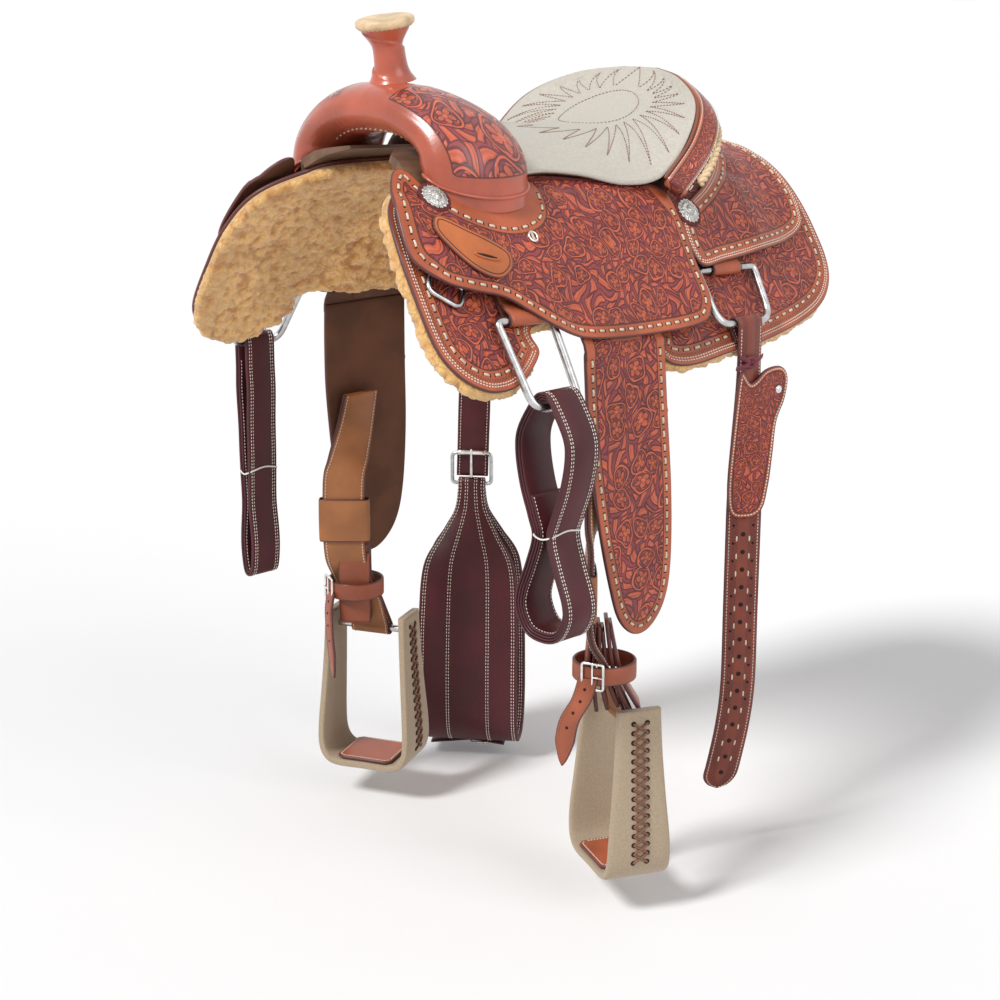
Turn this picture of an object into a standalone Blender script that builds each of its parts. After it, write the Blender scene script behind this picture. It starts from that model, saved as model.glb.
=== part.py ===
"""Team roping saddle, with its tree, seat, leathers, stirrups, rigging and hanging straps.

X points to the horse's left, the front of the saddle faces minus Y and Z is up, in metres. The origin
lies on the centre plane, on the ridge of the rack that carries the saddle, half way along the skirts.

Every leather on the side of the saddle is cut flat and laid on one ruled surface. A point on it is
given by its run outward from the centre plane, its place along Y, and its lift off the skirt's face.
"""
from functools import lru_cache
from math import cos, pi, radians, sin

import bmesh
import bpy
from mathutils import Matrix, Vector
from mathutils.geometry import interpolate_bezier

# The saddle's side: two sections, blended along Y
FRONT_STATION = -0.33
REAR_STATION = 0.40
FRONT_SECTION = {"ridge": 0.086, "crown": radians(22), "flank": radians(58), "bend": 0.26}
REAR_SECTION = {"ridge": 0.045, "crown": radians(6), "flank": radians(62), "bend": 0.22}
FENDER_HOLLOW = 0.009
SKIRT_GIVE = 0.010

# Leather and wood thicknesses
SKIRT_LEATHER = 0.005
FLEECE = 0.014
JOCKEY_LEATHER = 0.0045
FENDER_LEATHER = 0.005
STRAP_LEATHER = 0.0035
CINCH_LEATHER = 0.0045
BAR_WOOD = 0.012
SEAT_PADDING = 0.009
SEAT_RIM = 0.0025
COVER_LEATHER = 0.0035
PLY_GAP = 0.0008
RIGGING_ROOM = 0.0158

# Places where a sheet is creased so that stacked leathers bend alike
RUN_LINES = [0.025 * i for i in range(1, 12)] + [0.325]
LENGTH_LINES = [-0.30, -0.25, -0.20, -0.165, -0.125, -0.04, 0.05, 0.12, 0.19, 0.26, 0.34]

# Fender, stirrup leather and stirrup
SWING_Y = -0.046
SWING_Z = 0.005
LIFT_RUN = 0.3435
LIFT_FACE = 0.0125
HINGE_GAP = 0.0034
FENDER_LEAN = 0.05
LEATHER_WIDTH = 0.058
BOLT_CENTRE = Vector((0.238, -0.044, -0.630))
BOLT_RADIUS = 0.005
STIRRUP_YAW = radians(25)
STIRRUP_WALL = 0.011
SLEEVE_TWIST = radians(45)
SLEEVE_Z = -0.461
SLEEVE_HEIGHT = 0.060
HOBBLE_Z = -0.562

# Dees, straps and small metal
DEE_WIRE = 0.0048
DEE_LIFT = 0.0079
SMALL_WIRE = 0.0028
WRAP_PLY = 0.0024
FRONT_DEE_RUN = 0.299
FRONT_DEE_END = 0.408
FRONT_DEE_Y = -0.207
REAR_DEE_RUN = 0.262
REAR_DEE_Y = 0.180
BILLET_RUN = 0.338
BILLET_Y = 0.176
BILLET_WIDTH = 0.047
LATIGO_WIDTH = 0.051
LATIGO_WALL = 0.012
CONCHO_RADIUS = 0.0165
FLANK_TWIST = radians(52)
BUCKLE_HEIGHT = 0.046
BUCKLE_WIDTH = 0.058
BUCKLE_BAR_Z = -0.4585
BUCKLE_FRONT = 0.0060
FLANK_Y = 0.166

COLLECTION = "team_roping_saddle"


def clear_scene():
    for old in list(bpy.data.objects):
        bpy.data.objects.remove(old)


def make_collection(name):
    group = bpy.data.collections.new(name)
    bpy.context.scene.collection.children.link(group)
    return group


def make_finish(name, color, roughness, metallic=0.0):
    finish = bpy.data.materials.new(name)
    finish.use_nodes = True
    shader = finish.node_tree.nodes["Principled BSDF"]
    shader.inputs["Base Color"].default_value = (*color, 1.0)
    shader.inputs["Roughness"].default_value = roughness
    shader.inputs["Metallic"].default_value = metallic
    return finish


def make_finishes():
    return {
        "carved": make_finish("carved_leather", (0.36, 0.085, 0.055), 0.5),
        "plain": make_finish("plain_leather", (0.52, 0.15, 0.055), 0.45),
        "glossy": make_finish("glossy_leather", (0.40, 0.075, 0.045), 0.3),
        "maroon": make_finish("latigo_leather", (0.11, 0.012, 0.018), 0.45),
        "suede": make_finish("seat_suede", (0.62, 0.55, 0.46), 0.9),
        "fleece": make_finish("woolskin", (0.60, 0.33, 0.12), 1.0),
        "rawhide": make_finish("rawhide", (0.78, 0.62, 0.42), 0.5),
        "steel": make_finish("stainless_steel", (0.60, 0.60, 0.60), 0.25, 1.0),
        "silver": make_finish("silver", (0.70, 0.68, 0.64), 0.3, 1.0),
        "wood": make_finish("tree_wood", (0.45, 0.30, 0.18), 0.7),
        "roughout": make_finish("roughout_leather", (0.42, 0.37, 0.30), 0.95),
    }


def add_object(name, data, finish):
    data.materials.clear()
    data.materials.append(FINISHES[finish])
    item = bpy.data.objects.new(name, data)
    PARTS.objects.link(item)
    return item


def add_mesh(name, bm, finish, smooth=40):
    """Make an object from a closed bmesh, with its faces turned outward."""
    bmesh.ops.recalc_face_normals(bm, faces=bm.faces[:])
    mesh = bpy.data.meshes.new(name)
    bm.to_mesh(mesh)
    bm.free()
    mesh.shade_smooth()
    mesh.set_sharp_from_angle(angle=radians(smooth))
    return add_object(name, mesh, finish)


def set_origin(item, point):
    """Move an object's origin, such as onto a joint's axis, and leave its shape where it is."""
    item.data.transform(Matrix.Translation(-Vector(point)))
    item.location = point
    return item


def mix(a, b, share):
    return a + (b - a) * share


def ramp(value, start, end):
    """Zero before start, one past end, a straight line between."""
    return min(max((value - start) / (end - start), 0.0), 1.0)


def smooth_step(share):
    share = min(max(share, 0.0), 1.0)
    return share * share * (3 - 2 * share)


def smooth_path(points, steps):
    """Points along a smooth curve through the given ones, with steps from each to the next."""
    points = [Vector(p) for p in points]
    last = len(points) - 1
    path = []
    for i in range(last):
        before = points[max(i - 1, 0)]
        after = points[min(i + 2, last)]
        start, end = points[i], points[i + 1]
        handle_a = start + (end - before) / 6
        handle_b = end - (after - start) / 6
        path += interpolate_bezier(start, handle_a, handle_b, end, steps + 1)[:steps]
    return path + [points[last]]


# The saddle's side


def fender_place(run, y):
    """One where the fender and its leather hang, falling to nothing round about."""
    along = min(ramp(y, -0.165, -0.125), 1 - ramp(y, 0.05, 0.12))
    return along * ramp(run, 0.225, 0.325)


@lru_cache(maxsize=None)
def section(run, y):
    """Distance out, height and slope of the skirt's outer face."""
    along = (y - FRONT_STATION) / (REAR_STATION - FRONT_STATION)
    shape = {key: mix(FRONT_SECTION[key], REAR_SECTION[key], along) for key in FRONT_SECTION}
    steps = 24
    out, height = 0.0, shape["ridge"]
    for i in range(steps):
        slope = mix(shape["crown"], shape["flank"], smooth_step((i + 0.5) * run / steps / shape["bend"]))
        out += cos(slope) * run / steps
        height -= sin(slope) * run / steps
    slope = mix(shape["crown"], shape["flank"], smooth_step(run / shape["bend"]))
    return out, height, slope


def on_side(run, y, lift=0.0, side=1):
    out, height, slope = section(run, y)
    lift -= FENDER_HOLLOW * fender_place(run, y)
    return Vector((side * (out + sin(slope) * lift), y, height + cos(slope) * lift))


def bar_top(run, y):
    """Lift of the top of a tree bar, a long lens of wood under the seat."""
    across = min(ramp(run, 0.035, 0.075), 1 - ramp(run, 0.100, 0.150))
    along = 1 - 0.6 * ramp(y, 0.16, 0.28)
    return PLY_GAP + 0.003 + (BAR_WOOD - 0.003) * across * along


def jockey_under(run, y):
    """Lift of the underside of the jockeys, which pass over the bars, the rigging and the leathers."""
    over_bars = (bar_top(run, y) + PLY_GAP) * (1 - ramp(run, 0.150, 0.175)) * (1 - ramp(y, 0.29, 0.35))
    along = ramp(y, -0.345, -0.315) * (1 - ramp(y, 0.26, 0.34))
    over_rigging = RIGGING_ROOM * ramp(run, 0.100, 0.150) * along
    return max(over_bars, over_rigging, PLY_GAP)


def thicken(bm, top):
    """Close an open sheet: a second layer of points, given by top, and walls round the edge."""
    faces = bm.faces[:]
    borders = [edge for edge in bm.edges if edge.is_boundary]
    upper = {vert: bm.verts.new(top(vert)) for vert in bm.verts[:]}
    for face in faces:
        bm.faces.new([upper[vert] for vert in face.verts])
    for edge in borders:
        a, b = edge.verts
        bm.faces.new((a, b, upper[b], upper[a]))


def sheet(name, outline, under, over, side, finish):
    """A leather cut to an outline of (run, y) corners and laid on one side of the saddle."""
    bm = bmesh.new()
    bm.faces.new([bm.verts.new((run, y, 0)) for run, y in outline])
    cuts = [((run, 0, 0), (1, 0, 0)) for run in RUN_LINES]
    cuts += [((0, y, 0), (0, 1, 0)) for y in LENGTH_LINES]
    for point, normal in cuts:
        geometry = bm.verts[:] + bm.edges[:] + bm.faces[:]
        bmesh.ops.bisect_plane(bm, geom=geometry, dist=1e-5, plane_co=point, plane_no=normal)
    bmesh.ops.triangulate(bm, faces=bm.faces[:])
    flat = {vert: (vert.co.x, vert.co.y) for vert in bm.verts}

    def laid(vert, height):
        run, y = flat[vert]
        return on_side(run, y, height(run, y), side)

    lower = [(vert, laid(vert, under)) for vert in flat]
    thicken(bm, lambda vert: laid(vert, over))
    for vert, place in lower:
        vert.co = place
    return add_mesh(name, bm, finish)


def level(height):
    return lambda run, y: height


def skirt_face(depth):
    """A surface some depth below the skirt's face, which gives way under the fender."""
    return lambda run, y: -depth - SKIRT_GIVE * fender_place(run, y)


def above(under, thickness):
    return lambda run, y: under(run, y) + thickness


def rounded(outline, steps=2):
    """A closed outline with its corners turned into a smooth curve."""
    count = len(outline)
    points = [Vector((*outline[i % count], 0)) for i in range(-1, count + 2)]
    path = smooth_path(points, steps)[steps:-steps - 1]
    return [(p.x, p.y) for p in path[:count * steps]]


def loft(name, rings, finish, closed=False, smooth=40, split=False):
    """A solid through rings of points. A closed one runs round to its first ring. Split cuts its faces
    into triangles, for one that twists."""
    bm = bmesh.new()
    rows = [[bm.verts.new(point) for point in ring] for ring in rings]
    count = len(rows[0])
    following = rows[1:] + rows[:1] if closed else rows[1:]
    for row, after in zip(rows, following):
        for i in range(count):
            j = (i + 1) % count
            bm.faces.new((row[i], row[j], after[j], after[i]))
    if not closed:
        bm.faces.new(rows[0])
        bm.faces.new(rows[-1])
    if split:
        bmesh.ops.triangulate(bm, faces=bm.faces[:])
    return add_mesh(name, bm, finish, smooth)


def flat_section(centre, across, normal, width, thickness):
    """The four corners of a strap's cross-section."""
    return [centre + across * (u * width / 2) + normal * (v * thickness / 2)
            for u, v in ((-1, -1), (1, -1), (1, 1), (-1, 1))]


def strap(name, path, across, width, thickness, finish, closed=False):
    """A flat strap bent along a path. Across and width are single or one for each point."""
    path = [Vector(p) for p in path]
    count = len(path)
    widths = width if isinstance(width, list) else [width] * count
    sideways = across if isinstance(across, list) else [Vector(across)] * count
    rings = []
    for i, point in enumerate(path):
        before = path[i - 1] if closed or i else path[i]
        after = path[(i + 1) % count] if closed or i + 1 < count else path[i]
        edgewise = sideways[i].normalized()
        normal = (after - before).cross(edgewise).normalized()
        rings.append(flat_section(point, edgewise, normal, widths[i], thickness))
    return loft(name, rings, finish, closed, smooth=30, split=True)


def smooth_loop(points, steps):
    """Points along a smooth closed curve through the given ones."""
    wrapped = points[-1:] + points + points[:2]
    path = smooth_path(wrapped, steps)
    return path[steps:-steps - 1]


def plate(name, outline, corner, thickness, finish):
    """A flat board cut to an outline. Corner turns an outline pair and a depth into a point."""
    rings = [[corner(a, b, depth) for a, b in outline] for depth in (0.0, thickness)]
    return loft(name, rings, finish, smooth=30)


def wire(name, points, radius, finish, closed=True):
    """A round wire: a curve with a bevel."""
    curve = bpy.data.curves.new(name, "CURVE")
    curve.dimensions = "3D"
    curve.bevel_depth = radius
    curve.bevel_resolution = 2
    curve.use_fill_caps = True
    spline = curve.splines.new("POLY")
    spline.points.add(len(points) - 1)
    for spot, point in zip(spline.points, points):
        spot.co = (*point, 1.0)
    spline.use_cyclic_u = closed
    spline.use_smooth = True
    return add_object(name, curve, finish)


def rounded_corners(corners, radii, steps=4):
    """A closed outline of straight runs with each corner turned by its radius."""
    corners = [Vector(c) for c in corners]
    count = len(corners)
    path = []
    for i, (corner, radius) in enumerate(zip(corners, radii)):
        to_last = (corners[i - 1] - corner).normalized()
        to_next = (corners[(i + 1) % count] - corner).normalized()
        start = corner + to_last * radius
        end = corner + to_next * radius
        handle = 0.55 * radius
        path += interpolate_bezier(start, start - to_last * handle, end - to_next * handle, end, steps)
    return path


def ellipse_ring(centre, first, second, count, squareness=2.0):
    """Points round an ellipse with half axes first and second. More squareness fills its corners."""
    ring = []
    for i in range(count):
        angle = 2 * pi * i / count
        c, s = cos(angle), sin(angle)
        reach = (abs(c) ** squareness + abs(s) ** squareness) ** (-1 / squareness)
        ring.append(centre + first * (c * reach) + second * (s * reach))
    return ring


def hollow_loft(name, rings, wall, finish):
    """A tube through rings of points, open at both ends, its wall growing inward."""
    bm = bmesh.new()
    rows = [[bm.verts.new(point) for point in ring] for ring in rings]
    count = len(rows[0])
    for row, after in zip(rows, rows[1:]):
        for i in range(count):
            j = (i + 1) % count
            bm.faces.new((row[i], row[j], after[j], after[i]))
    bm.normal_update()
    middle = sum((v.co for v in bm.verts), Vector()) / len(bm.verts)
    outward = sum(face.normal.dot(face.calc_center_median() - middle) for face in bm.faces)
    if outward < 0:
        bmesh.ops.reverse_faces(bm, faces=bm.faces[:])
        bm.normal_update()
    normals = {vert: vert.normal.copy() for vert in bm.verts}
    thicken(bm, lambda vert: vert.co - normals[vert] * wall)
    return add_mesh(name, bm, finish)


def patch(name, grid, depth, finish):
    """A skin over a grid of points with a second face below it, by a depth given for row and place."""
    bm = bmesh.new()
    rows = [[bm.verts.new(point) for point in row] for row in grid]
    for row, after in zip(rows, rows[1:]):
        for i in range(len(row) - 1):
            bm.faces.new((row[i], row[i + 1], after[i + 1], after[i]))
    bm.normal_update()
    if sum((face.normal for face in bm.faces), Vector()).z < 0:
        bmesh.ops.reverse_faces(bm, faces=bm.faces[:])
        bm.normal_update()
    below = {}
    for i, row in enumerate(rows):
        for j, vert in enumerate(row):
            below[vert] = vert.co - vert.normal * depth(i, j)
    thicken(bm, lambda vert: below[vert])
    return add_mesh(name, bm, finish)


# Outlines on the side, as (run, y)

SKIRT_FRONT = [(0.035, -0.245), (0.085, -0.285), (0.140, -0.325), (0.200, -0.341), (0.260, -0.346),
               (0.318, -0.345), (0.350, -0.331), (0.370, -0.308), (0.379, -0.279), (0.372, -0.238),
               (0.340, -0.193), (0.305, -0.178)]
SKIRT_REAR = [(0.305, 0.020), (0.352, 0.030), (0.371, 0.050), (0.377, 0.085), (0.370, 0.148),
              (0.362, 0.217), (0.344, 0.305), (0.322, 0.367), (0.292, 0.403), (0.258, 0.416),
              (0.215, 0.414), (0.150, 0.405), (0.080, 0.400), (0.015, 0.398), (0.015, 0.300)]
SKIRT = SKIRT_FRONT + SKIRT_REAR

JOCKEY_FOOT = [(0.100, -0.278), (0.105, -0.300), (0.140, -0.322), (0.182, -0.334), (0.215, -0.336),
               (0.240, -0.322), (0.253, -0.306), (0.264, -0.272), (0.275, -0.232), (0.297, -0.199),
               (0.320, -0.164), (0.333, -0.120), (0.339, -0.071), (0.340, 0.003), (0.334, 0.088),
               (0.318, 0.111), (0.295, 0.119), (0.255, 0.117), (0.222, 0.118), (0.190, 0.120)]
JOCKEY_TOP = [(0.170, 0.112), (0.158, 0.080), (0.141, 0.020), (0.132, -0.060), (0.138, -0.108),
              (0.172, -0.127), (0.184, -0.178), (0.168, -0.230), (0.140, -0.262)]

REAR_JOCKEY = [(0.262, 0.123), (0.259, 0.178), (0.245, 0.268), (0.229, 0.340), (0.212, 0.378),
               (0.188, 0.390), (0.150, 0.392), (0.100, 0.388), (0.050, 0.380), (0.012, 0.372),
               (0.012, 0.312), (0.060, 0.300), (0.110, 0.262), (0.150, 0.200), (0.192, 0.124)]

LATIGO_KEEPER = [(0.172, -0.284), (0.190, -0.250), (0.206, -0.222), (0.222, -0.203), (0.240, -0.206),
                 (0.252, -0.226), (0.250, -0.246), (0.236, -0.268), (0.212, -0.288), (0.188, -0.298)]


# The tree


def build_bars():
    """Two long wooden bars that spread the load along the back."""
    outline = [(0.040, -0.240), (0.060, -0.262), (0.095, -0.272), (0.130, -0.250), (0.146, -0.180),
               (0.146, 0.000), (0.140, 0.180), (0.115, 0.270), (0.085, 0.285), (0.050, 0.270),
               (0.040, 0.150), (0.040, -0.050)]
    for side, word in ((1, "left"), (-1, "right")):
        sheet("tree_bar_" + word, outline, level(PLY_GAP), bar_top, side, "wood")


FORK_RING = 18


def fork_keys():
    """Half of the fork from top to foot: inner point, outer point and half its length along Y."""
    foot_in = on_side(0.092, -0.205, 0.0180)
    foot_out = on_side(0.173, -0.174, 0.0215)
    return [
        ((0.000, -0.212, 0.088), (0.000, -0.212, 0.147), 0.046),
        ((0.030, -0.208, 0.086), (0.043, -0.208, 0.144), 0.050),
        ((0.055, -0.202, 0.079), (0.088, -0.199, 0.131), 0.057),
        ((0.070, -0.197, 0.071), (0.127, -0.188, 0.108), 0.063),
        ((0.078, -0.197, 0.067), (0.153, -0.181, 0.076), 0.067),
        ((0.083, -0.201, 0.063), (0.163, -0.177, 0.042), 0.068),
        (foot_in, foot_out, 0.066),
    ]


def fork_rings(inset):
    """Rings along the arch from the right foot over the top to the left foot, shrunk by inset."""
    tracks = zip(*[(a, b, Vector((h, 0, 0))) for a, b, h in fork_keys()])
    half = [smooth_path(track, 3) for track in tracks]
    rings = []
    count = len(half[0])
    for i in range(1 - count, count):
        mirror = Vector((-1 if i < 0 else 1, 1, 1))
        inner, outer = half[0][abs(i)] * mirror, half[1][abs(i)] * mirror
        radial = (outer - inner) / 2
        radial = radial.normalized() * (radial.length - inset)
        length = Vector((0, half[2][abs(i)].x - inset, 0))
        rings.append(ellipse_ring((inner + outer) / 2, radial, length, FORK_RING, 2.1))
    return rings[::2]


def build_fork():
    """The wooden arch at the front and the leather that wraps it, open at its two feet."""
    loft("tree_fork", fork_rings(COVER_LEATHER + 0.0110)[1:-1], "wood")
    hollow_loft("swell_cover", fork_rings(0.0), COVER_LEATHER, "glossy")


HORN_BASE = Vector((0.0, -0.206, 0.1516))
HORN_TOP = Vector((0.0, -0.2155, 0.2110))
HORN_LEAN = (HORN_TOP - HORN_BASE).normalized()


def horn_rings(profile, count, wide=1.0):
    """Rings round the horn's neck. The profile gives a share of the height and a radius."""
    across = Vector((1, 0, 0))
    along = HORN_LEAN.cross(across)
    rings = []
    for share, radius in profile:
        centre = HORN_BASE + (HORN_TOP - HORN_BASE) * share
        rings.append(ellipse_ring(centre, across * radius * wide, along * radius, count))
    return rings


def build_horn():
    """A metal horn on its foot, the leather round its neck and the bound cap."""
    core = [(0.04, 0.0180), (0.09, 0.0170), (0.20, 0.0100), (0.55, 0.0095), (0.97, 0.0100)]
    loft("tree_horn", horn_rings(core, 12), "steel")
    wrap = [(0.01, 0.0285), (0.10, 0.0240), (0.25, 0.0180), (0.45, 0.0160), (0.68, 0.0165),
            (0.83, 0.0195), (0.92, 0.0240)]
    hollow_loft("horn_wrap", horn_rings(wrap, 20), 0.0042, "glossy")
    cap = [(0.985, 0.0240), (1.00, 0.0315), (1.06, 0.0345), (1.13, 0.0340), (1.17, 0.0300),
           (1.185, 0.0200)]
    loft("horn_cap", horn_rings(cap, 28), "rawhide")


# The seat


SEAT_ROWS = [
    # centre (y, z), part way out (y, z), edge (x, y, z)
    ((-0.122, 0.104), (-0.120, 0.090), (0.126, -0.113, 0.040)),
    ((-0.065, 0.095), (-0.066, 0.081), (0.124, -0.068, 0.040)),
    ((0.010, 0.087), (0.003, 0.073), (0.133, -0.015, 0.033)),
    ((0.085, 0.083), (0.070, 0.070), (0.150, 0.045, 0.019)),
    ((0.140, 0.088), (0.121, 0.078), (0.163, 0.100, 0.026)),
    ((0.185, 0.106), (0.163, 0.099), (0.168, 0.140, 0.070)),
    ((0.215, 0.128), (0.198, 0.122), (0.147, 0.178, 0.112)),
    ((0.232, 0.144), (0.222, 0.141), (0.090, 0.210, 0.140)),
    ((0.2375, 0.1495), (0.2365, 0.1492), (0.030, 0.2350, 0.1490)),
]
SEAT_PART_WAY = 0.6
SEAT_ACROSS = 12


def seat_grid(rows, steps, depth=0.0, share=1.0):
    """Points over the seat from edge to edge. Share keeps the middle part of each row."""
    tracks = zip(*[(Vector((*c, 0)), Vector((*m, 0)), Vector(e)) for c, m, e in rows])
    centre, part, edge = (smooth_path(list(track), steps) for track in tracks)
    grid = []
    for c, m, e in zip(centre, part, edge):
        row = []
        for i in range(-SEAT_ACROSS // 2, SEAT_ACROSS // 2 + 1):
            u = share * i * 2 / SEAT_ACROSS
            row.append(Vector((e.x * u, even_curve(c.x, m.x, e.y, u), even_curve(c.y, m.y, e.z, u) - depth)))
        grid.append(row)
    return grid


def even_curve(middle, part, edge, u):
    """A curve even about the centre plane, through its value at 0, part way out and at the edge."""
    p = SEAT_PART_WAY ** 2
    fourth = ((edge - middle) - (part - middle) / p) / (1 - p)
    return middle + ((edge - middle) - fourth) * u * u + fourth * u ** 4


def seat_depth(i, j):
    """The seat's padding, thin along its sides and at the cantle's rim."""
    aside = abs(j * 2 / SEAT_ACROSS - 1)
    rim = max(ramp(i, 11, 15), aside ** 3 * mix(0.6, 1.0, ramp(i, 4, 9)))
    return mix(SEAT_PADDING, SEAT_RIM, rim)


def build_seat():
    patch("seat_pad", seat_grid(SEAT_ROWS, 2), seat_depth, "suede")
    lowered = SEAT_PADDING + PLY_GAP + 0.0015
    patch("ground_seat", seat_grid(SEAT_ROWS[:4], 2, lowered, 0.55), lambda i, j: 0.003, "plain")


# The cantle


def rim_path(steps):
    """The seat's rim from the left foot over the top to the right foot."""
    left = smooth_path([edge for _, _, edge in SEAT_ROWS[4:]], steps)
    right = [Vector((-p.x, p.y, p.z)) for p in reversed(left)]
    return left + right


def rim_frames(steps):
    """For each rim point: the point, the way out and back from the seat, and the way up and out."""
    frames = []
    for point in rim_path(steps):
        width = abs(point.x) / 0.165
        outward = Vector((0.70 * point.x / 0.165, 0.36 + 0.42 * (1 - width), -0.60)).normalized()
        along = Vector((-point.y + 0.02, point.x, 0.0))
        lifted = along.cross(outward).normalized()
        if lifted.z < 0:
            lifted.negate()
        frames.append((point, outward, lifted))
    return frames


def cantle_base(point, half_width, ahead):
    """Where the cantle comes down on the rear jockeys, below a rim point."""
    share = max(-1.0, min(1.0, point.x / 0.165))
    y = 0.128 + 0.170 * (1 - abs(share) ** 2.2) - ahead
    run = abs(share) * half_width * 1.10
    ground = on_side(run, y, jockey_under(run, y) + JOCKEY_LEATHER + 0.0065)
    return Vector((share * half_width, y, ground.z))


def build_cantle():
    """The dished plate of the tree, the leather behind it and the rolled rim."""
    frames = rim_frames(3)
    inner = frames[2:-2]
    board = []
    for point, outward, lifted in inner:
        top = point + outward * 0.013 - lifted * 0.0135
        foot = cantle_base(point, 0.132, 0.022)
        board.append([top - outward * 0.003, top + outward * 0.006, foot + Vector((0, 0.009, 0)), foot])
    loft("tree_cantle", board, "wood")
    back = []
    for point, outward, lifted in inner:
        top = point + outward * 0.026 - lifted * 0.0140
        base = cantle_base(point, 0.150, 0.0)
        back.append([top, mix(top, base, 0.5) + outward * 0.002, base])
    patch("cantle_back", back, lambda i, j: 0.003, "carved")
    roll = []
    for point, outward, lifted in frames:
        middle = point + outward * 0.0218 - lifted * 0.002
        roll.append(ellipse_ring(middle, outward * 0.0160, lifted * 0.0075, 12, 2.3))
    loft("cantle_roll", roll, "carved")
    braid = [point + outward * 0.0420 - lifted * 0.0080 for point, outward, lifted in frames[2:-2]]
    wire("cantle_braid", braid, 0.0032, "rawhide", closed=False)


# Leathers on each side


def build_side_leathers(side, word):
    sheet("skirt_" + word, SKIRT, skirt_face(SKIRT_LEATHER), skirt_face(0.0), side, "carved")
    top = SKIRT_LEATHER + PLY_GAP / 2
    sheet("fleece_" + word, SKIRT, skirt_face(top + FLEECE), skirt_face(top), side, "fleece")
    over = above(jockey_under, JOCKEY_LEATHER)
    sheet("seat_jockey_" + word, JOCKEY_FOOT + JOCKEY_TOP, jockey_under, over, side, "carved")
    sheet("rear_jockey_" + word, REAR_JOCKEY, jockey_under, over, side, "carved")


def build_latigo_keeper():
    """The leaf of leather on the near front that holds the end of the latigo."""
    under = above(jockey_under, JOCKEY_LEATHER + PLY_GAP)
    sheet("latigo_keeper", LATIGO_KEEPER, under, above(under, 0.003), 1, "plain")


def build_concho(name, run, y, side):
    """A domed silver disc with a scalloped edge."""
    lift = jockey_under(run, y) + JOCKEY_LEATHER + PLY_GAP + 0.0006
    centre = on_side(run, y, lift, side)
    out = (on_side(run, y, lift + 0.01, side) - centre).normalized()
    first = Vector((0, 1, 0)).cross(out).normalized()
    second = out.cross(first)
    rings = []
    for height, radius in ((0.0, 1.0), (0.0016, 1.0), (0.0036, 0.72), (0.0052, 0.30)):
        ring = []
        for i in range(32):
            angle = 2 * pi * i / 32
            scallop = 1 + (0.05 * cos(16 * angle) if radius == 1.0 else 0)
            reach = CONCHO_RADIUS * radius * scallop
            ring.append(centre + out * height + (first * cos(angle) + second * sin(angle)) * reach)
        rings.append(ring)
    loft(name, rings, "silver")


# Dees and the straps that hold them


def dee(name, corners, radii, lift, bar, side, wire_radius=DEE_WIRE):
    """A dee laid on the side, drawn by (run, y) corners. Its origin goes on its straight bar."""
    path = rounded_corners([(run, y, 0) for run, y in corners], radii)
    points = [on_side(p.x, p.y, lift(p.x), side) for p in path]
    item = wire(name, points, wire_radius, "steel")
    return set_origin(item, on_side(*bar, lift(bar[0]), side))


def rigging_loop(name, y_start, y_end, run_start, bar_run, side, finish):
    """A strap folded round a dee's bar, with both of its plies running up under the jockey."""
    reach = DEE_WIRE + 0.0006 + WRAP_PLY / 2
    low = DEE_LIFT - reach
    high = DEE_LIFT + reach
    joined = low + WRAP_PLY + 0.0010
    runs = [0.025 * i for i in range(round(run_start / 0.025), int((bar_run - 0.020) / 0.025) + 1)]
    path = [(run, joined) for run in runs]
    path += [(bar_run - 0.017, (joined + high) / 2), (bar_run - 0.004, high)]
    for turn in (60, 30, 0, -30, -60):
        angle = radians(turn)
        path.append((bar_run + reach * cos(angle), DEE_LIFT + reach * sin(angle)))
    path += [(bar_run - 0.004, low)]
    path += [(run, low) for run in reversed(runs)]
    half = WRAP_PLY / 2
    rings = []
    for y in (y_start, (y_start + y_end) / 2, y_end):
        outer, inner = [], []
        for i, (run, lift) in enumerate(path):
            before = Vector(path[max(i - 1, 0)])
            after = Vector(path[min(i + 1, len(path) - 1)])
            way = (after - before).normalized()
            normal = Vector((-way.y, way.x)) * half
            outer.append(on_side(run + normal.x, y, lift + normal.y, side))
            inner.append(on_side(run - normal.x, y, lift - normal.y, side))
        rings.append(outer + inner[::-1])
    return loft(name, rings, finish, smooth=30)


def rear_dee_lift(run):
    """The rear dees stand a little off the skirt at their lower end, over the billet's fold."""
    return DEE_LIFT + 0.055 * max(run - REAR_DEE_RUN, 0.0)


def build_dees(side, word):
    y = FRONT_DEE_Y
    front = [(FRONT_DEE_RUN, y - 0.042), (FRONT_DEE_RUN, y + 0.046), (FRONT_DEE_END, y + 0.038),
             (FRONT_DEE_END, y - 0.038)]
    dee("front_dee_" + word, front, (0.007, 0.007, 0.018, 0.018), level_run(DEE_LIFT),
        (FRONT_DEE_RUN, y), side)
    rigging_loop("rigging_front_" + word, y - 0.026, y + 0.034, 0.200, FRONT_DEE_RUN, side, "plain")
    y = REAR_DEE_Y
    rear = [(REAR_DEE_RUN, y - 0.054), (REAR_DEE_RUN, y + 0.060), (BILLET_RUN, y + 0.050),
            (BILLET_RUN, y - 0.056)]
    dee("rear_dee_" + word, rear, (0.007, 0.007, 0.022, 0.022), rear_dee_lift, (REAR_DEE_RUN, y), side)
    rigging_loop("rear_rigging_" + word, y - 0.028, y + 0.028, 0.175, REAR_DEE_RUN, side, "plain")
    breast = [(0.229, -0.312), (0.255, -0.275), (0.277, -0.292), (0.250, -0.329)]
    dee("breast_dee_" + word, breast, (0.005, 0.005, 0.011, 0.011), level_run(0.0042),
        (0.242, -0.2935), side, SMALL_WIRE)


def level_run(height):
    return lambda run: height


# Straps that hang from the dees


def front_dee_foot(side):
    return on_side(FRONT_DEE_END, FRONT_DEE_Y, DEE_LIFT, side)


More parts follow.
